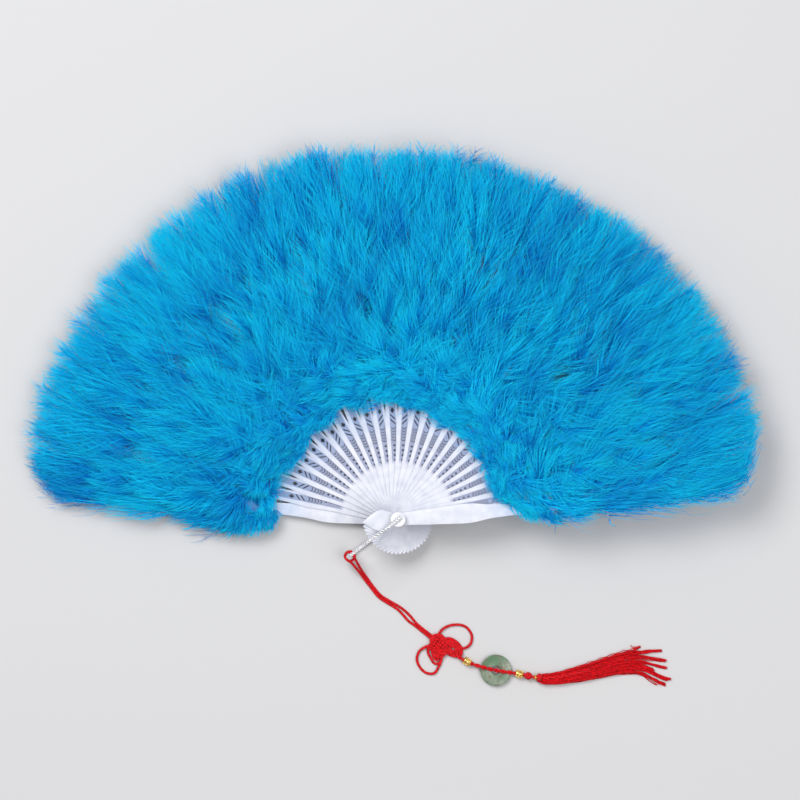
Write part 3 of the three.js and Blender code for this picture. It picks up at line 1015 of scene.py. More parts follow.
UPPER_CORD = (
    (20, -77, 1.7), (16.4, -74.3, 1.1), (12, -70.4, 0.8), (8.7, -66.4, 0.8), (4.9, -62.6, 0.8),
    (1.2, -59.8, 0.8), (-5.2, -56.1, 0.8), (-11.6, -52, 0.8), (-16.9, -45.9, 1), (-21.6, -39.4, 2),
    (-24.3, -35.5, 4.6), (-26.6, -31.6, 8), (-29.2, -26.8, 11), (-31.5, -23.2, 12), (-33.4, -22.4, 12.2),
    (-35.2, -23.3, 12.2), (-35.9, -25.2, 12.2), (-35.1, -27, 12), (-31.8, -29.5, 11), (-28.6, -33.1, 8),
    (-25.8, -36.6, 4.6), (-23, -40.5, 2), (-18.2, -46.8, 1), (-12.8, -53.3, 0.8), (-6.1, -57.7, 0.8),
    (-0.3, -61.4, 0.8), (3.5, -65.2, 0.8), (6.8, -69, 0.8), (10.9, -72, 0.8), (15.4, -75.6, 1.1),
    (19, -78.4, 1.7),
)
ENTRIES = (
    ((20.24, -77.18, 1.73), (21.6, -78.3, 1.9), (23.6, -79.9, 2), (25.8, -82.2, 2)),
    ((19.24, -78.58, 1.73), (20.4, -79.5, 1.9), (22.4, -81.2, 2), (24.6, -83.4, 2)),
)
UPPER_EAR = (
    (25.6, -82, 1.9), (27, -79.1, 1.6), (30.6, -74.6, 1.2), (38.3, -71.8, 1), (45.8, -73.2, 1),
    (50, -79.4, 1), (48.8, -85.2, 1.1), (44.8, -87.8, 1.3), (40.6, -87, 1.7),
)
LOWER_EAR = (
    (22.6, -85.6, 1.9), (18.9, -86.7, 1.5), (14.4, -89.9, 1.1), (12.8, -95.2, 1), (14.9, -100.7, 1),
    (19.6, -104.6, 1), (24.2, -104.8, 1), (27.6, -100.2, 1.1), (29.6, -94.4, 1.5), (29.4, -90.6, 1.9),
)
ROOT_TURNS = (
    (20.5, -86, 1.8), (20.3, -90, 1.4), (22.2, -94.5, 1.2), (25.2, -98.2, 1.2), (28, -97.8, 1.3),
    (29.6, -93.5, 1.5), (29, -89.5, 1.9), (26.2, -89, 2.1), (23.6, -90.5, 1.8), (24.6, -94.5, 1.4),
    (26.4, -95.8, 1.4), (28, -92.5, 1.7), (27.5, -88.5, 2),
)
LOBE = (
    (30.6, -82.6, 2.2), (34.2, -81.6, 2.1), (38.6, -83.4, 1.9), (42.4, -88.2, 1.8), (42.2, -91.6, 1.8),
    (38.6, -92.6, 1.9), (34.6, -91.2, 2.1), (31.4, -88.6, 2.2),
)
# Past the ring: x, y, and the heights of the strand over it and of the one under it
RING_RUN = (
    (38.6, -90.6, 2.6, 1.4), (41.2, -93.4, 3.3, 1.9), (44.2, -95.35, 3.65, 2.05),
    (46.9, -96.7, 3.65, 2.05), (49.6, -98.05, 3.7, 1.95), (52.6, -99.1, 4, 1.2), (55.4, -99.85, 4.6, 0.7),
    (60.6, -101.3, 4.7, 0.7), (66.3, -102.6, 4.7, 0.7), (71.9, -103.55, 4.7, 0.7),
    (76.8, -104.2, 4.5, 0.8), (79.5, -104.7, 3.7, 1.9), (82.2, -105.2, 3.65, 2.05),
    (85.15, -105.75, 3.65, 2.05), (88.2, -106.4, 3.55, 2.15), (91.2, -106.95, 3.55, 2.15),
)
CORE_RUN = (
    (97.4, -108.1), (106, -107.4), (119, -105.1), (130, -102.4),
)
CORE_OVER = 3.5
CORE_UNDER = 2.2
CORE_DROP = 0.2


@dataclass
class Cord:
    """Twisted red silk cord: its free runs."""

    diameter: float = 1.6 * MM
    thin: float = 1.2 * MM
    ply_share: float = 0.34
    lay_share: float = 0.28
    pair_diameter: float = 3.0 * MM
    pair_ply_share: float = 0.25
    pair_lay_share: float = 0.23
    hitch_centre: tuple[float, float] = (-32.5 * MM, -25.2 * MM)
    hitch_radius: float = 3.2 * MM
    hitch_turns: float = 2.1
    hitch_points: int = 60
    hitch_heights: tuple[float, float] = (10.9 * MM, 12.7 * MM)
    pair_pitch: float = 9.0 * MM
    pitch: float = 3.0 * MM
    step: float = 0.4 * MM

    def strand(self, path: np.ndarray, diameter: float) -> Shape:
        """Lays up three plies along a path.

        Args:
            path: Middle line of the cord.
            diameter: The cord's diameter.

        Returns:
            The cord's shape.
        """
        ply = diameter * self.ply_share
        pitch = self.pitch * diameter / self.diameter
        return tubes("cord_plies", plies(path, 3, diameter * self.lay_share, pitch), ply)

    def pair(self, path: np.ndarray) -> Shape:
        """Lays two cords loosely round each other along a path."""
        lines = plies(path, 2, self.pair_diameter * self.pair_lay_share, self.pair_pitch)
        return tubes("cord_pair", lines, self.pair_diameter * self.pair_ply_share, resolution=2)

    def hitch(self) -> Shape:
        """Winds the cord's own turns round the end of the bail."""
        turn = np.linspace(0.0, FULL_TURN * self.hitch_turns, self.hitch_points)
        circle = round_axis(self.hitch_radius, turn, np.linspace(*self.hitch_heights, len(turn)))
        return self.strand(smooth_route(circle + [*self.hitch_centre, 0.0], self.step), self.diameter)

    def run(self, name: str, points: Sequence[Point], look: Look, node: str,
            kind: CordKind) -> tuple[bpy.types.Object, np.ndarray]:
        """Builds one free run of cord.

        Args:
            name: The piece's name.
            points: Points of its route, in millimetres.
            look: Its finish.
            node: CAD node that it stands for.
            kind: How it is laid.

        Returns:
            The piece and its middle line.
        """
        path = traced(points, self.step)
        if kind is CordKind.DOUBLED:
            shape = self.pair(path)
        else:
            diameter = self.diameter if kind is CordKind.HITCHED else self.thin
            path[:, 2] = np.maximum(path[:, 2], diameter * (self.ply_share + self.lay_share))
            shape = self.strand(path, diameter)
        if kind is CordKind.HITCHED:
            shape = joined(shape, self.hitch())
        return add_piece(name, to_mesh(shape, crease=80.0), look, STRING_BODY, node), path


@dataclass
class Knot:
    """A woven good-luck knot: doubled rows over and under doubled columns, two ears and a lobe."""

    centre: tuple[float, float] = (27.3 * MM, -86.1 * MM)
    angle: float = -37.6
    pitch: float = 4.1 * MM
    half: float = 5.4 * MM
    pair_gap: float = 0.86 * MM
    wave: float = 0.75 * MM
    middle: float = 2.1 * MM
    rim_drop: float = 0.25
    row_points: int = 40
    bight_share: float = 0.55
    bight_points: int = 14
    lobe_centre: tuple[float, float] = (35.5 * MM, -87.2 * MM)
    lobe_sides: tuple[float, ...] = (-4.2, -2.6, -1.0, 0.8)
    step: float = 0.4 * MM

    def weave(self) -> list[np.ndarray]:
        """Traces the doubled rows and columns of the knot's body."""
        lines = []
        along = np.linspace(-self.half, self.half, self.row_points)
        for across, row, pair in itertools.product((0, 1), (-1, 0, 1), (-1, 1)):
            height = self.middle + self.wave * np.cos(math.pi * (along / self.pitch + row + across))
            height *= 1.0 - self.rim_drop * (np.abs(along) / self.half) ** 4
            side = np.full_like(along, row * self.pitch + pair * self.pair_gap)
            lines.append(np.stack([side, along, height] if across else [along, side, height], axis=1))
        return lines

    def bights(self) -> list[np.ndarray]:
        """Traces the short loops that join neighbouring rows and columns round the body's rim."""
        lines = []
        turn = np.linspace(-math.pi / 2, math.pi / 2, self.bight_points)
        height = np.full_like(turn, self.middle)
        for across, (end, row), nest in itertools.product((0, 1), ((-1, 0.5), (1, -0.5)), (-1, 1)):
            radius = self.pitch / 2 + nest * self.pair_gap
            out = end * (self.half + self.bight_share * radius * np.cos(turn))
            side = row * self.pitch + radius * np.sin(turn)
            lines.append(np.stack([side, out, height] if across else [out, side, height], axis=1))
        return lines

    def build(self, cord: Cord, look: Look) -> None:
        """Builds the knot."""
        turn = Matrix.Rotation(math.radians(self.angle), 4, "Z")
        body = joined(*(cord.strand(line, cord.diameter) for line in self.weave() + self.bights()))
        shapes = [moved(body, Matrix.Translation((*self.centre, 0.0)) @ turn)]
        paths = [traced(route, self.step) for route in (UPPER_EAR, LOWER_EAR, ROOT_TURNS)]
        for side in self.lobe_sides:
            path = traced(LOBE, self.step)
            path[:, :2] += side * self.pair_gap * unit(path[:, :2] - self.lobe_centre)
            paths.append(path)
        paths += [traced(route, self.step) for route in ENTRIES]
        shapes += [cord.strand(path, cord.diameter) for path in paths]
        add_piece("knot_weave", to_mesh(joined(*shapes), crease=80.0), look, STRING_BODY, "knot")


@dataclass
class Threaded:
    """What is threaded on the cord: gold filigree beads, a stone ring, a red stopper and a spacer."""

    upper_bead: tuple[Point, float] = ((46.9 * MM, -96.7 * MM, 3.0 * MM), -26.6)
    lower_bead: tuple[Point, float] = ((82.2 * MM, -105.2 * MM, 3.0 * MM), -10.6)
    bead_radius: float = 2.45 * MM
    bead_half: float = 2.5 * MM
    bead_curve: float = 0.62
    bead_wall: float = 0.25 * MM
    bead_wires: tuple[float, ...] = (-0.92, -0.36, 0.36, 0.92)
    bead_rows: tuple[float, ...] = (-0.66, 0.0, 0.66)
    granule: float = 0.52 * MM
    granules: int = 8
    ring_place: Point = (66.3 * MM, -102.6 * MM, 1.6 * MM)
    ring_radius: float = 10.6 * MM
    ring_hole: float = 2.8 * MM
    ring_thick: float = 1.8 * MM
    ring_round: float = 0.6 * MM
    stopper_place: Point = (88.2 * MM, -106.4 * MM, 2.8 * MM)
    stopper_radius: float = 2.8 * MM
    stopper_thread: float = 0.62 * MM
    stopper_turns: int = 8
    stopper_points: int = 260
    stopper_gap: float = 0.06
    spacer_place: Point = (91.5 * MM, -107.0 * MM, 3.15 * MM)
    spacer_radius: float = 1.9 * MM
    spacer_length: float = 3.2 * MM
    spacer_shares: Pairs = (
        (0.0, 0.0), (0.55, 0.0), (0.8, 0.1), (0.62, 0.24), (1.0, 0.42), (1.0, 0.58), (0.62, 0.76),
        (0.8, 0.9), (0.55, 1.0), (0.0, 1.0),
    )

    def bead_out(self, level: float) -> float:
        """Radius of a bead at a level along it, from -1 to 1."""
        return self.bead_radius * math.sqrt(1.0 - (self.bead_curve * level) ** 2)

    def bead(self) -> Shape:
        """Makes a filigree bead: a barrel with wires round it and rows of granules between them."""
        half = self.bead_half
        barrel = [(self.bead_out(level), level * half) for level in np.linspace(-1, 1, 13)]
        inside = [(radius - self.bead_wall * 2, height) for radius, height in reversed(barrel)]
        shapes = [turned([*barrel, *inside], steps=36, ring=True)]
        for level in self.bead_wires:
            wire = ring_line(self.bead_out(level), level * half, 36)
            shapes.append(tubes("bead_wire", [wire], self.bead_wall, closed=True))
        beads = bmesh.new()
        for (row, level), i in itertools.product(enumerate(self.bead_rows), range(self.granules)):
            turn, out = FULL_TURN * (i + 0.5 * (row % 2)) / self.granules, self.bead_out(level)
            place = Matrix.Translation((out * math.cos(turn), out * math.sin(turn), level * half))
            bmesh.ops.create_icosphere(beads, subdivisions=2, radius=self.granule, matrix=place)
        return joined(*shapes, beads)

    def ring(self) -> Shape:
        """Makes the stone ring, with softly rounded rims."""
        thick, rounding = self.ring_thick, self.ring_round
        arc = [(math.sin(a), 1.0 - math.cos(a)) for a in np.linspace(0.0, math.pi / 2, 5)]
        outer = [(self.ring_radius - rounding * (1.0 - s), rounding * c) for s, c in arc]
        inner = [(self.ring_hole + rounding * (1.0 - s), rounding * c) for s, c in arc]
        low = inner[::-1] + outer
        high = [(radius, thick - height) for radius, height in low[::-1]]
        return turned([*low, *high], steps=72, ring=True)

    def stopper(self) -> Shape:
        """Makes the red stopper: a ball of cord wound round in close turns."""
        core = bmesh.new()
        radius = self.stopper_radius - self.stopper_thread / 2
        bmesh.ops.create_uvsphere(core, u_segments=24, v_segments=14, radius=radius)
        down = np.linspace(self.stopper_gap, math.pi - self.stopper_gap, self.stopper_points)
        around = FULL_TURN * self.stopper_turns * down / math.pi
        line = round_axis(radius * np.sin(down), around, radius * np.cos(down))
        return joined(core, tubes("stopper_thread", [line], self.stopper_thread / 2))

    def spacer(self) -> Shape:
        """Makes the small gold spacer in front of the tassel."""
        length, radius = self.spacer_length, self.spacer_radius
        return turned([(radius * out, length * up) for out, up in self.spacer_shares], steps=28)

    def build(self, wardrobe: Wardrobe) -> list[bpy.types.Object]:
        """Builds the pieces.

        Returns:
            The pieces.
        """
        angle = self.lower_bead[1]
        beads = (("upper", self.upper_bead), ("lower", self.lower_bead))
        parts = [(f"filigree_bead_{name}", self.bead(), along_cord(*place), 40.0, wardrobe.gold,
                  f"gold_bead_{name}") for name, place in beads]
        parts += [
            ("jade_ring", self.ring(), Matrix.Translation(self.ring_place), 40.0, wardrobe.jade, "jade_disc"),
            ("red_stopper", self.stopper(), along_cord(self.stopper_place, angle), 60.0, wardrobe.silk,
             "knot"),
            ("gold_spacer", self.spacer(), along_cord(self.spacer_place, angle), 40.0, wardrobe.gold,
             "tassel"),
        ]
        return [add_piece(name, to_mesh(moved(shape, place), crease), look, STRING_BODY, node)
                for name, shape, place, crease, look, node in parts]


@dataclass
class Tassel:
    """A bound head and loose wavy threads that part into strands towards their ends."""

    seed: int = 11
    threads: int = 210
    thread: float = 0.25 * MM
    step: float = 2.2 * MM
    side_scatter: float = 0.07
    lift_share: float = 0.75
    full_lift: float = 1.9
    lift_fade: float = 0.02
    end_scatter: tuple[float, float] = (2.6, 0.4)
    end_height: float = 0.9
    end_lift: float = 0.5
    waves: tuple[float, float] = (4.0, 9.0)
    wave_size: tuple[float, float] = (0.12, 0.42)
    wave_shares: tuple[float, ...] = (0.4, 1.0, 0.5)
    cap_start: float = 2.8 * MM
    cap_length: float = 3.2 * MM
    cap_radius: float = 2.8 * MM
    cap_shares: Pairs = (
        (0.0, 0.0), (0.5, 0.0), (0.85, 0.08), (0.97, 0.3), (1.0, 0.6), (0.94, 1.0), (0.0, 1.15),
    )
    binding: float = 0.3 * MM
    binding_turns: int = 7
    binding_points: int = 160
    bound: tuple[float, float] = (0.12, 0.62)
    floor: float = 0.3 * MM
    line: tuple[tuple[float, float, float, float], ...] = (
        (94.2, -107.7, 1.6, 2.9), (97.4, -108.5, 2.6, 2.9), (106.0, -108.2, 3.2, 2.5),
        (119.0, -105.9, 4.2, 2.0), (134.0, -102.2, 5.2, 1.7), (149.0, -98.2, 6.2, 1.5),
        (160.0, -96.4, 7.4, 1.4),
    )
    ends: Pairs = (
        (164.5, -86.4), (179.0, -89.2), (182.3, -96.2), (182.4, -101.0), (174.0, -102.6), (185.0, -109.0),
        (181.5, -112.2),
    )

    def thread_line(self, rng: Rng) -> np.ndarray:
        """Traces one thread from the bound head to its end.

        Args:
            rng: Source of its chances.

        Returns:
            Points of its middle line, in metres.
        """
        strand = int(rng.integers(len(self.ends)))
        side = 1.0 - 2.0 * strand / (len(self.ends) - 1) + rng.normal(0.0, self.side_scatter)
        lift = rng.uniform(-1.0, 1.0)
        points = []
        for i, (x, y, half, height) in enumerate(self.line):
            most = min(height, self.full_lift - self.lift_fade * i)
            points.append((x, y + side * half, height + self.lift_share * lift * most))
        end_x, end_y = self.ends[strand]
        back, aside = (rng.normal(0.0, scatter) for scatter in self.end_scatter)
        points.append((end_x - abs(back), end_y + aside, self.end_height + self.end_lift * lift))
        path = smooth_route(np.array(points) * MM, self.step)
        along = np.linspace(0.0, 1.0, len(path))
        for axis, share in enumerate(self.wave_shares):
            waves, phase = rng.uniform(*self.waves), rng.uniform(0.0, FULL_TURN)
            size = rng.uniform(*self.wave_size) * MM * share
            path[:, axis] += size * np.sqrt(along) * np.sin(FULL_TURN * waves * along + phase)
        path[:, 2] = np.maximum(path[:, 2], self.floor)
        return path

    def build(self, look: Look, place: Point, angle: float) -> bpy.types.Object:
        """Builds the tassel.

        Args:
            look: Its finish.
            place: Where the spacer in front of it begins.
            angle: Direction of the cord there, in degrees.

        Returns:
            The piece.
        """
        rng = np.random.default_rng(self.seed)
        lines = [self.thread_line(rng) for _ in range(self.threads)]
        skirt = tubes("tassel_threads", lines, self.thread, resolution=0)
        start, length, radius = self.cap_start, self.cap_length, self.cap_radius
        head = turned([(radius * out, start + length * up) for out, up in self.cap_shares], steps=28)
        along = np.linspace(*self.bound, self.binding_points)
        around = FULL_TURN * self.binding_turns * (along - along[0]) / (along[-1] - along[0])
        spiral = round_axis(radius, around, start + length * along)
        cap = moved(joined(head, tubes("tassel_binding", [spiral], self.binding)), along_cord(place, angle))
        mesh = to_mesh(joined(skirt, cap), crease=80.0)
        return add_piece("tassel_threads", mesh, look, STRING_BODY, "tassel")


def build_pendant(wardrobe: Wardrobe) -> None:
    cord = Cord()
    upper, path = cord.run("cord_upper_silk", UPPER_CORD, wardrobe.silk, "cord_upper", CordKind.HITCHED)
    Knot().build(cord, wardrobe.silk)
    threaded = Threaded()
    pieces = threaded.build(wardrobe)
    tassel = Tassel().build(wardrobe.silk, threaded.spacer_place, threaded.lower_bead[1])
    over = [(x, y, height) for x, y, height, _ in RING_RUN]
    under = [(x, y, height) for x, y, _, height in RING_RUN]
    runs = (("strand_over_ring", over, CORE_OVER, CordKind.DOUBLED, [*pieces, tassel]),
            ("strand_under_ring", under, CORE_UNDER, CordKind.SINGLE, []))
    for name, route, height, kind, carried in runs:
        core = [(x, y, height - CORE_DROP * i) for i, (x, y) in enumerate(CORE_RUN)]
        strand, path = cord.run(name, [*route, *core], wardrobe.silk, "knot", kind)


# The down


@dataclass(frozen=True)
class Feather:
    """One kind of feather: where its quill is tied and how it lies, in millimetres and degrees.

    Attributes:
        reach: Where it is tied, from the rivet outwards.
        turn: Which way it points off the stick.
        length: Length of its quill.
        spread: Length of its barbs.
        lift: How far a front feather stands off.
        barbs: Number of barbs.
        leave: Angle at which its first barbs leave the quill.
        stout: How many times the usual thickness its barbs have.
    """

    reach: float
    turn: float
    length: float
    spread: float
    lift: float
    barbs: int
    leave: float = 52.0
    stout: float = 1.0


# Each kind's reach, turn, length, spread, lift and barbs, and where it differs, leave and stout
FRONT_FEATHERS = (
    Feather(81, 98, 13, 13, 3, 90, 50, 1.5),
    Feather(82, -98, 13, 13, 3, 90, 50, 1.5),
    Feather(82, 5, 24, 20, 4, 85, 26, 2.0),
    Feather(94, -5, 24, 22, 5, 105, 30, 2.0),
    Feather(98, 80, 16, 16, 4, 75, 40, 2.0),
    Feather(108, 5, 24, 22, 5, 90, 28, 2.0),
    Feather(126, -5, 24, 22, 4, 75, 28, 2.0),
    Feather(146, -6, 24, 22, 4, 60, 26, 2.0),
    Feather(168, 6, 24, 22, 4, 60, 26, 2.0),
    Feather(85, 178, 9, 16, 4, 40),
    Feather(88, 168, 8, 13, 5, 130),
    Feather(91, -150, 10, 15, 5, 150),
    Feather(96, 116, 14, 19, 6, 150),
    Feather(101, -73, 18, 24, 7, 150),
    Feather(108, 34, 28, 29, 8, 150),
    Feather(118, -36, 30, 30, 9, 150),
    Feather(130, 18, 32, 31, 9, 145),
    Feather(142, -26, 32, 32, 9, 145),
    Feather(154, 38, 32, 32, 9, 145),
    Feather(166, -14, 34, 32, 8, 145),
    Feather(176, 24, 34, 32, 7, 145),
    Feather(186, -30, 36, 32, 6, 145),
    Feather(192, 24, 46, 32, 5, 160),
    Feather(196, -22, 48, 32, 4, 160),
    Feather(198, 12, 50, 32, 3, 140),
    Feather(196, -10, 50, 32, 3, 140),
    Feather(202, 2, 50, 32, 3, 150),
)
UNDER_FEATHERS = (
    Feather(100, 70, 18, 16, 2, 24, 60, 3.2),
    Feather(103, -70, 18, 16, 2, 24, 60, 3.2),
    Feather(124, 66, 22, 18, 2, 24, 60, 3.2),
    Feather(127, -66, 22, 18, 2, 24, 60, 3.2),
)
LOW_EDGE_FEATHERS = (
    Feather(84, 104, 9, 14, 4, 130, stout=1.4),
    Feather(90, 84, 12, 17, 5, 150, stout=1.4),
    Feather(99, 66, 15, 19, 6, 150, stout=1.4),
    Feather(111, 48, 20, 24, 6, 150, stout=1.4),
    Feather(98, -26, 28, 18, 3, 110, 40, 2.0),
    Feather(128, 42, 26, 25, 6, 150),
    Feather(148, 38, 28, 26, 6, 150),
    Feather(168, 34, 30, 26, 6, 150),
    Feather(188, 30, 32, 26, 5, 150),
)
LOW_NEXT_FEATHERS = (
    Feather(98, 28, 24, 20, 4, 120, stout=1.4),
)
FRONT_EDGE_FEATHERS = (
    Feather(88, 30, 26, 18, 2, 110, 40, 2.0),
)
BACK_FEATHERS = (
    Feather(92, -148, 16, 20, 4, 72, stout=1.15),
    Feather(104, 50, 28, 28, 8, 80, stout=1.15),
    Feather(126, -26, 36, 34, 10, 80, stout=1.15),
    Feather(150, 30, 38, 36, 8, 80, stout=1.15),
    Feather(174, -16, 40, 36, 6, 80, stout=1.15),
    Feather(194, 22, 46, 34, 4, 95, stout=1.15),
    Feather(200, -20, 48, 34, 3, 95, stout=1.15),
)


@dataclass
class DownBoundary:
    """How far the down reaches: soft limits, past which its strands lie pressed together."""

    rim_angle: tuple[float, ...] = (
        0, 8, 14, 20, 30, 38, 48, 60, 68, 80, 92, 100, 108, 116, 124, 134,
        146, 158, 164, 170, 176, 184,
    )
    rim: tuple[float, ...] = (
        228, 238, 247, 250, 254, 254, 251, 248, 245, 246, 246, 250, 254, 257, 257,
        256.5, 256, 256, 255, 250, 238, 226,
    )
    rim_scatter: float = 6.5
    rim_over: float = 13.0
    rim_soft: float = 12.0
    inner_angle: tuple[float, ...] = (
        -10, 0, 4, 6, 8, 10, 12, 15, 28, 34, 40, 48, 56, 64, 80, 88, 96,
        104, 112, 120, 128, 136, 144, 152, 160, 182,
    )
    inner: tuple[float, ...] = (
        96, 94, 91, 88, 84, 74, 67, 65, 65, 68, 70, 73, 73.5, 73, 75, 78, 79.5,
        80.5, 82, 82.5, 81, 80, 78.5, 82, 84, 83,
    )
    inner_scatter: float = 7.0
    inner_soft: float = 7.0
    left_reach: tuple[float, ...] = (
        76, 82, 88, 95, 108, 116, 125, 135, 150, 165, 180, 196, 210, 225, 235,
        250,
    )
    left_angle: tuple[float, ...] = (
        177, 182.5, 185.5, 187.5, 187.5, 185.5, 183, 181, 179.5, 178.3, 177.3, 177, 176, 175.2,
        174.2, 172.5,
    )
    right_reach: tuple[float, ...] = (
        72, 82, 90, 100, 110, 118, 126, 136, 150, 180, 196, 210, 225, 235, 242,
        250,
    )
    right_angle: tuple[float, ...] = (
        3, -1, -1, -0.4, -0.2, 0.6, 1.6, 2.8, 3.2, 3.5, 3.9, 5, 6.3, 7.4, 9.5, 13,
    )
    usual_inner: float = 76.0
    shift_end: float = 132.0
    shift_fade: float = 34.0
    angle_scatter: float = 2.4
    angle_mean: float = 0.45
    angle_soft: float = 4.0
    highest: float = 44.0
    high_soft: float = 5.0
    lowest: float = 0.5
    low_soft: float = 3.0

    @staticmethod
    def capped(values: np.ndarray, most: np.ndarray | float, soft: float) -> np.ndarray:
        """Bends values that near a limit, so that they approach it and never pass it.

        Args:
            values: The values.
            most: The limit.
            soft: How far before the limit the bending starts.

        Returns:
            The bent values.
        """
        start = most - soft
        over = np.maximum(values - start, 0.0)
        return np.where(values > start, most - soft * np.exp(-over / soft), values)

    def shift(self, angle: float, reach: float) -> float:
        """Tells how much further out than usual a feather is tied, so that the inner edge keeps its line.

        Args:
            angle: The stick's angle in degrees.
            reach: Where the feather is usually tied.

        Returns:
            The shift, negative towards the rivet.
        """
        share = min(max((self.shift_end - reach) / self.shift_fade, 0.0), 1.0)
        return share * (float(np.interp(angle, self.inner_angle, self.inner)) - self.usual_inner)

    def hold(self, points: np.ndarray, rng: Rng) -> np.ndarray:
        """Keeps strands inside the fan's outline and off the table.

        Args:
            points: Points of each strand in millimetres, as strands by levels by three.
            rng: Source of the scatter from strand to strand.

        Returns:
            The points, moved where they went too far.
        """

        def scatter() -> np.ndarray:
            """Draws how far each strand may pass a limit."""
            return np.abs(rng.normal(0.0, 1.0, (len(points), 1)))

        x, y, height = np.moveaxis(points, -1, 0)
        reach = np.hypot(x, y)
        angle = np.degrees(np.arctan2(y, x))
        angle = np.where(angle < -90.0, angle + 360.0, angle)
        over = np.minimum(self.rim_scatter * scatter(), self.rim_over)
        reach = self.capped(reach, np.interp(angle, self.rim_angle, self.rim) + over, self.rim_soft)
        inner = np.interp(angle, self.inner_angle, self.inner) - self.inner_scatter * scatter()
        reach = -self.capped(-reach, -inner, self.inner_soft)
        slack = self.angle_scatter * (scatter() - self.angle_mean)
        most = np.interp(reach, self.left_reach, self.left_angle) + slack
        angle = self.capped(angle, most, self.angle_soft)
        least = np.interp(reach, self.right_reach, self.right_angle) - slack
        angle = -self.capped(-angle, -least, self.angle_soft)
        height = self.capped(height, self.highest, self.high_soft)
        height = -self.capped(-height, -self.lowest, self.low_soft)
        turn = np.radians(angle)
        return np.stack([reach * np.cos(turn), reach * np.sin(turn), height], axis=-1)


class Strands(NamedTuple):
    """Strands of down, each with a middle line that has a point at each level.

    Attributes:
        lines: Middle lines, as strands by levels by three.
        radii: Radius of each strand at each level.
        tints: Tint of each strand, from 0 to 1, which sets its painted shade.
        roots: Where each strand starts along the map, from 0 at its root.
    """

    lines: np.ndarray
    radii: np.ndarray
    tints: np.ndarray
    roots: np.ndarray


@dataclass
class StrandStamp:
    """A tapered three-sided strand, made once and repeated along many middle lines."""

    levels: tuple[float, ...] = (0.0, 0.38, 0.72, 1.0)
    steep: float = 0.95
    tint_share: float = 0.008
    map_margin: float = 0.002
    shape: np.ndarray = field(init=False)
    faces: np.ndarray = field(init=False)

    def __post_init__(self) -> None:
        """Cuts a cone into the levels and keeps its corners and triangles."""
        cone = bmesh.new()
        bmesh.ops.create_cone(cone, cap_ends=True, segments=3, radius1=1.0, radius2=0.0, depth=1.0)
        bmesh.ops.translate(cone, vec=(0.0, 0.0, 0.5), verts=cone.verts)
        for level in self.levels[1:-1]:
            bmesh.ops.bisect_plane(
                cone, geom=cone.verts[:] + cone.edges[:] + cone.faces[:], dist=1e-6,
                plane_co=(0.0, 0.0, level), plane_no=(0.0, 0.0, 1.0),
            )
        bmesh.ops.remove_doubles(cone, verts=cone.verts, dist=1e-5)
        bmesh.ops.triangulate(cone, faces=cone.faces)
        bmesh.ops.recalc_face_normals(cone, faces=cone.faces)
        cone.verts.index_update()
        self.shape = np.array([vert.co[:] for vert in cone.verts])
        self.faces = np.array([[vert.index for vert in face.verts] for face in cone.faces])
        cone.free()

    def stamp(self, strands: Strands) -> bpy.types.Mesh:
        """Repeats the strand.

        Args:
            strands: The strands to make, in millimetres.

        Returns:
            Their mesh in metres, with the strand map.
        """
        lines = strands.lines
        heights = self.shape[:, 2]
        level = np.abs(heights[:, None] - np.array(self.levels)).argmin(axis=1)
        around = self.shape[:, :2] / np.maximum(1.0 - heights[:, None], 1e-6)
        around[level == len(self.levels) - 1] = 0.0
        tangents = unit(np.gradient(lines, axis=1))
        spare = np.zeros_like(tangents)
        spare[..., 2] = 1.0
        spare[np.abs(tangents[..., 2]) > self.steep] = (1.0, 0.0, 0.0)
        normals = unit(np.cross(tangents, spare))
        sides = np.cross(tangents, normals)
        ring = normals[:, level] * around[None, :, 0:1] + sides[:, level] * around[None, :, 1:2]
        corners = lines[:, level] + strands.radii[:, level, None] * ring
        first = np.arange(len(lines))[:, None, None] * len(self.shape)
        faces = (self.faces[None] + first).reshape(-1, 3)
        across = strands.tints[:, None] + self.tint_share * around[None, :, 0]
        along = strands.roots[:, None] + (1.0 - strands.roots[:, None]) * heights[None]
        along = np.clip(along, self.map_margin, 1.0 - self.map_margin)
        place = np.stack([across, along], axis=-1)
        return strand_mesh(corners.reshape(-1, 3) * MM, faces, place.reshape(-1, 2))


def strand_mesh(corners: np.ndarray, faces: np.ndarray, place: np.ndarray) -> bpy.types.Mesh:
    """Writes stamped strands into a mesh with its strand map.

    Args:
        corners: Corners in metres.
        faces: Triangles.
        place: The map's place of each corner.

    Returns:
        The mesh.
    """
    mesh = bpy.data.meshes.new("down")
    mesh.vertices.add(len(corners))
    mesh.vertices.foreach_set("co", corners.ravel())
    mesh.loops.add(faces.size)
    mesh.loops.foreach_set("vertex_index", faces.ravel())
    mesh.polygons.add(len(faces))
    mesh.polygons.foreach_set("loop_start", np.arange(0, faces.size, 3))
    mesh.update(calc_edges=True)
    layer = mesh.uv_layers.new(name=STRAND_MAP)
    layer.data.foreach_set("uv", place[faces.ravel()].ravel())
    mesh.shade_smooth()
    return mesh


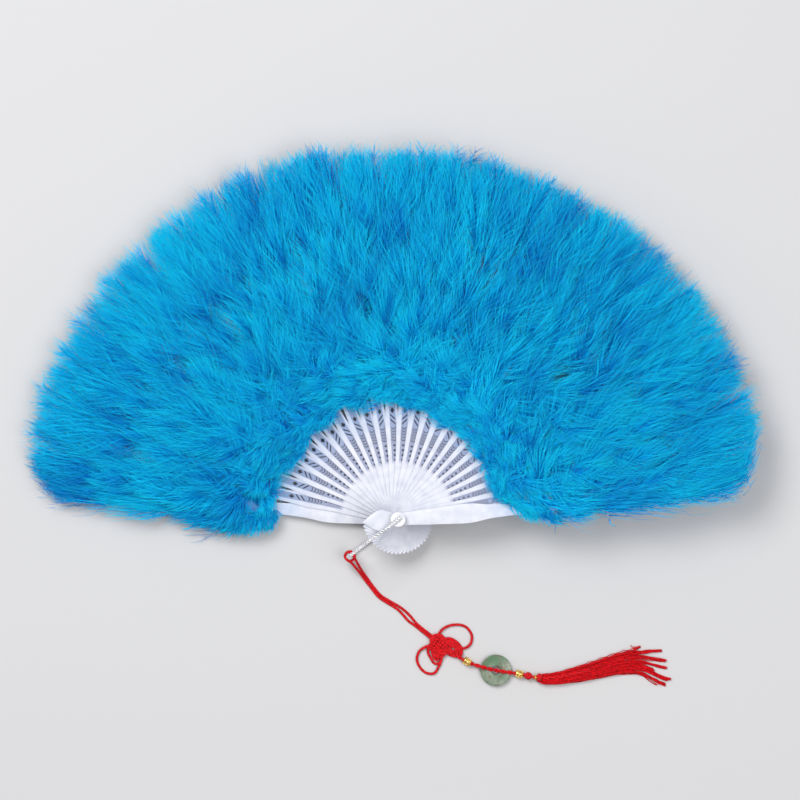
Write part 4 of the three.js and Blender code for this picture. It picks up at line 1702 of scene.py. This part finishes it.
@dataclass(frozen=True)
class Quill:
    """A feather's quill on a stick along +X, in millimetres and radians.

    Attributes:
        length: Its length.
        turn: Its direction.
        base: Where it is tied.
        rise: How far it stands off, upwards or downwards.
        curl: Share of its turn that it loses on its way.
        arch: How fast it stands up, and how fast it comes down again.
    """

    length: float
    turn: float
    base: np.ndarray
    rise: float
    curl: float = 0.3
    arch: tuple[float, float] = (2.0, 1.25)

    def at(self, t: np.ndarray) -> np.ndarray:
        """Gives points along the stick, across it and up, at places from 0 to 1 along the quill."""
        bend = self.turn * (1.0 - self.curl * t)
        up, down = self.arch
        x = self.base[0] + self.length * t * np.cos(bend)
        y = self.base[1] + self.length * t * np.sin(bend)
        z = self.base[2] + self.rise * (up * t - down * t**2)
        return np.stack([x, y, z], axis=-1)


@dataclass
class Plumage:
    """The down of every stick: soft feathers tied on in whorls, front and back.

    Lengths are in millimetres. Most pairs of numbers are the ends of an even scatter.
    """

    seed: int = 5
    seed_step: int = 97
    root_radius: float = 0.17
    tip_radius: float = 0.08
    taper_start: float = 0.9
    fine: tuple[float, float] = (0.75, 1.15)
    quill_radius: float = 0.30
    quill_taper: float = 0.8
    quill_tint: float = 0.965
    tie_scatter: float = 4.0
    tie_half: float = 3.0
    tie_height: float = 1.0
    stick_middle: float = 0.5
    middle_ahead: float = 25.0
    calm_reach: float = 210.0
    calm_fade: float = 90.0
    calm_least: float = 0.3
    turn_scatter: float = 12.0
    swirl: float = 0.42
    stand: tuple[float, float] = (0.7, 1.3)
    hang: tuple[float, float] = (0.45, 1.0)
    hang_share: float = 0.85
    hang_gap: float = 1.0
    first_barb: float = 0.03
    look_ahead: float = 0.02
    roll: float = math.radians(12.0)
    roll_scatter: float = math.radians(30.0)
    leave_fade: float = 0.7
    leave_scatter: float = 0.14
    swell: tuple[float, float] = (0.72, 0.38)
    barb_scatter: tuple[float, float] = (0.72, 1.12)
    bends: tuple[float, ...] = (1.0, 0.5, 0.12)
    way_scatter: float = 0.17
    sag: float = 0.10
    clump: int = 12
    clump_pull: float = 0.7
    clump_hold: float = 0.6
    clump_shares: tuple[float, float] = (0.45, 1.0)
    # The slow wave and the random tones below set the tints, which darken patches of down as painted shade
    # between tufts.
    shade: float = 0.25
    tint_mean: float = 0.55
    tint_ends: tuple[float, float] = (0.03, 0.88)
    feather_tone: float = 0.15
    clump_tone: float = 0.17
    barb_tone: float = 0.05
    root_place: float = 0.10
    root_rise: float = 0.25
    boundary: DownBoundary = field(default_factory=DownBoundary)
    stamp: StrandStamp = field(default_factory=StrandStamp)

    @staticmethod
    def drift(x: float, y: float) -> tuple[float, float]:
        """Gives two slow waves over the open fan, from -1 to 1: one for the lie of the down, one for patches
        of painted shade on it.
        """
        lie = math.sin(x / 19.0 + 1.1) * math.cos(y / 24.0 - 0.4) + 0.6 * math.sin((x + 1.7 * y) / 27.0)
        tone = math.cos(x / 15.0 - 0.6) * math.sin(y / 18.0 + 0.9) + 0.6 * math.cos((1.4 * x - y) / 21.0)
        return lie / 1.6, tone / 1.6

    def barbs(self, kind: Feather, side: Side, quill: Quill, places: np.ndarray, group: np.ndarray,
              rng: Rng) -> np.ndarray:
        """Draws the middle lines of a feather's barbs.

        Args:
            kind: The feather's kind.
            side: Face of the stick that it is tied to.
            quill: Its quill.
            places: Where each barb leaves the quill, from 0 to 1.
            group: Number of the clump that each barb belongs to.
            rng: Source of its chances.

        Returns:
            The lines, as barbs by levels by three.
        """
        count = kind.barbs
        start = quill.at(places)
        ahead = unit(quill.at(places + self.look_ahead) - start)
        across = unit(np.cross([0.0, 0.0, side.value], ahead))
        up = np.cross(ahead, across)
        hand = np.where(np.arange(count) % 2 == 0, 1.0, -1.0)
        roll = rng.normal(self.roll, self.roll_scatter, count)
        out = across * (hand * np.cos(roll))[:, None] + up * np.sin(roll)[:, None]
        leave = np.radians(kind.leave * (1.0 - self.leave_fade * places))
        leave = leave + rng.normal(0.0, self.leave_scatter, count)
        least, swell = self.swell
        size = kind.spread * (least + swell * np.sin(math.pi * places**0.8))
        size = size * rng.uniform(*self.barb_scatter, count)
        points = [start]
        for share in self.bends:
            angle = (leave * share)[:, None]
            way = np.cos(angle) * ahead + np.sin(angle) * out
            way = way + rng.normal(0.0, self.way_scatter, (count, 3))
            way[:, 2] -= self.sag * (1.0 - share)
            points.append(points[-1] + unit(way) * (size / 3.0)[:, None])
        members = np.bincount(group)
        pull = rng.uniform(0.0, self.clump_pull, len(members))[group][:, None]
        for place, share in zip((2, 3), self.clump_shares):
            middle = np.stack([np.bincount(group, points[place][:, k]) for k in range(3)], axis=1)
            middle = (middle / members[:, None])[group]
            points[place] += (middle - points[place]) * pull * share * self.clump_hold
        return self.curved(points)

    def feather(self, kind: Feather, side: Side, hang: float, rng: Rng, hand: int,
                stick: float) -> Strands:
        """Draws one feather's barbs and quill, on a stick along +X.

        Args:
            kind: The feather's kind.
            side: Face of the stick that it is tied to.
            hang: How far a back feather can hang down.
            rng: Source of its chances.
            hand: Which way it turns off the stick, 1 or -1.
            stick: The open stick's direction in radians.

        Returns:
            Its strands.
        """
        tied = kind.reach + self.boundary.shift(math.degrees(stick), kind.reach)
        base = np.array([
            tied + rng.normal(0.0, self.tie_scatter), rng.uniform(-self.tie_half, self.tie_half),
            side.value * self.tie_height,
        ])
        reach = base[0] + self.middle_ahead
        lie, tone = self.drift(reach * math.cos(stick), reach * math.sin(stick))
        wild = min(max((self.calm_reach - kind.reach) / self.calm_fade, self.calm_least), 1.0)
        turn = math.radians(hand * kind.turn + rng.normal(0.0, self.turn_scatter) * wild)
        rise = kind.lift * rng.uniform(*self.stand) if side is Side.FRONT else -hang * rng.uniform(*self.hang)
        quill = Quill(kind.length, turn + self.swirl * lie * wild, base, rise)
        count = kind.barbs
        places = np.sort(rng.uniform(self.first_barb, 1.0, count))
        group = (np.arange(count) // (2 * self.clump)) * 2 + np.arange(count) % 2
        lines = self.barbs(kind, side, quill, places, group, rng)
        # Painted shade: the slow wave and the random tones darken patches of down through the tint ramp.
        tone = rng.normal(0.0, self.feather_tone) + self.shade * tone
        clump_tone = rng.normal(0.0, self.clump_tone, group.max() + 1)[group]
        barb_tone = rng.normal(0.0, self.barb_tone, count)
        tints = np.clip(self.tint_mean + tone + clump_tone + barb_tone, *self.tint_ends)
        fine = kind.stout * rng.uniform(*self.fine, count)[:, None]
        levels = np.array(self.stamp.levels)
        taper = np.interp(levels, (0.0, self.taper_start, 1.0), (self.root_radius, self.tip_radius, 0.0))
        return Strands(
            lines=np.concatenate([lines, quill.at(levels)[None]]),
            radii=np.concatenate([fine * taper, self.quill_radius * (1.0 - self.quill_taper * levels)[None]]),
            tints=np.append(tints, self.quill_tint),
            roots=np.append(self.root_place + self.root_rise * places, self.root_place),
        )

    def curved(self, points: list[np.ndarray]) -> np.ndarray:
        """Evaluates a cubic through four control points at the strand's levels."""
        lines = []
        for u in self.stamp.levels:
            w = 1.0 - u
            first, second = w**3 * points[0] + 3 * w**2 * u * points[1], 3 * w * u**2 * points[2]
            lines.append(first + second + u**3 * points[3])
        return np.stack(lines, axis=1)

    def plume(self, number: int) -> bpy.types.Mesh:
        """Makes the down of one stick.

        Args:
            number: The stick, from 0 for the rear guard.

        Returns:
            The mesh, in place.
        """
        rng = np.random.default_rng(self.seed + self.seed_step * number)
        height = LAYOUT.underside(number) / MM + self.stick_middle
        turn = math.radians(LAYOUT.angle(number))
        hand = int(rng.choice((-1, 1)))
        hang = self.hang_share * (height - self.hang_gap)
        parts = [self.feather(kind, side, hang, rng, hand, turn)
                 for side, kinds in ((Side.FRONT, FRONT_FEATHERS), (Side.BACK, BACK_FEATHERS))
                 for kind in kinds]
        edges = {0: LOW_EDGE_FEATHERS, 1: LOW_NEXT_FEATHERS, LAYOUT.staves + 1: FRONT_EDGE_FEATHERS}
        parts += [self.feather(kind, Side.FRONT, 0.0, rng, 1, turn)
                  for kind in UNDER_FEATHERS + edges.get(number, ())]
        whole = Strands(*(np.concatenate(group) for group in zip(*parts)))
        x, y, z = np.moveaxis(whole.lines, -1, 0)
        cos, sin = math.cos(turn), math.sin(turn)
        lines = np.stack([x * cos - y * sin, x * sin + y * cos, z + height], axis=-1)
        return self.stamp.stamp(whole._replace(lines=self.boundary.hold(lines, rng)))

    def build(self, look: Look) -> None:
        """Builds the down of every stick."""
        for number in range(LAYOUT.staves + 2):
            name = LAYOUT.label(number, "down_rear", "down", "down_front")
            node = LAYOUT.label(number, "rear_plume", "plume", "front_plume")
            add_piece(name, self.plume(number), look, LAYOUT.body(number), node)


# The studio


@dataclass
class Studio:
    """A pale floor, soft lights and a camera straight above the fan."""

    centre: tuple[float, float] = (1.35 * MM, 80.4 * MM)
    distance: float = 5.5
    focus_height: float = 12.0 * MM
    field: float = 540.8 * MM
    sensor: float = 36.0
    floor_size: float = 6.0
    floor_colour: Colour = (0.58, 0.58, 0.59, 1.0)
    world_level: float = 0.41
    lamps: tuple[tuple[Point, float, float], ...] = (
        ((-0.8, 1.0, 1.9), 1.1, 36.0),
        ((0.9, -0.3, 2.1), 1.6, 23.0),
    )

    def camera(self) -> None:
        """Makes the camera and sets it as the scene's own."""
        data = bpy.data.cameras.new("top_camera")
        data.sensor_width = self.sensor
        data.lens = self.sensor * (self.distance - self.focus_height) / self.field
        camera = put("top_camera", data)
        camera.location = (*self.centre, self.distance)
        bpy.context.scene.camera = camera

    def light(self) -> None:
        """Sets the world and the soft lamps."""
        world = bpy.data.worlds.new("studio_world")
        world.use_nodes = True
        background = world.node_tree.nodes["Background"]
        background.inputs["Color"].default_value = WHITE
        background.inputs["Strength"].default_value = self.world_level
        bpy.context.scene.world = world
        for number, (place, size, power) in enumerate(self.lamps):
            data = bpy.data.lights.new(f"soft_lamp_{number}", "AREA")
            data.size = size
            data.energy = power
            lamp = put(data.name, data)
            lamp.location = place
            aim = Vector((*self.centre, 0.0)) - Vector(place)
            lamp.rotation_euler = aim.to_track_quat("-Z", "Y").to_euler()

    def floor(self) -> None:
        """Lays the pale floor."""
        shape = bmesh.new()
        bmesh.ops.create_grid(shape, x_segments=1, y_segments=1, size=self.floor_size / 2)
        mesh = bpy.data.meshes.new("floor")
        shape.to_mesh(mesh)
        shape.free()
        shader = Shader("pale_floor")
        shader.surface(base_color=self.floor_colour, roughness=0.8)
        mesh.materials.append(shader.material)
        put("floor", mesh)


def main() -> None:
    """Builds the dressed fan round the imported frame."""
    logging.basicConfig(level=logging.INFO, format="%(name)s %(message)s")
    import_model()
    bpy.context.scene.view_settings.view_transform = "Standard"
    studio = Studio()
    studio.camera()
    wardrobe = Wardrobe.build()
    build_pendant(wardrobe)
    Bail().build(wardrobe.silver)
    Rivet().build(wardrobe.steel)
    Sticks().build(wardrobe.plastic)
    Plumage().build(wardrobe.down)
    studio.light()
    studio.floor()
    bpy.context.view_layer.update()


if __name__ == "__main__":
    main()
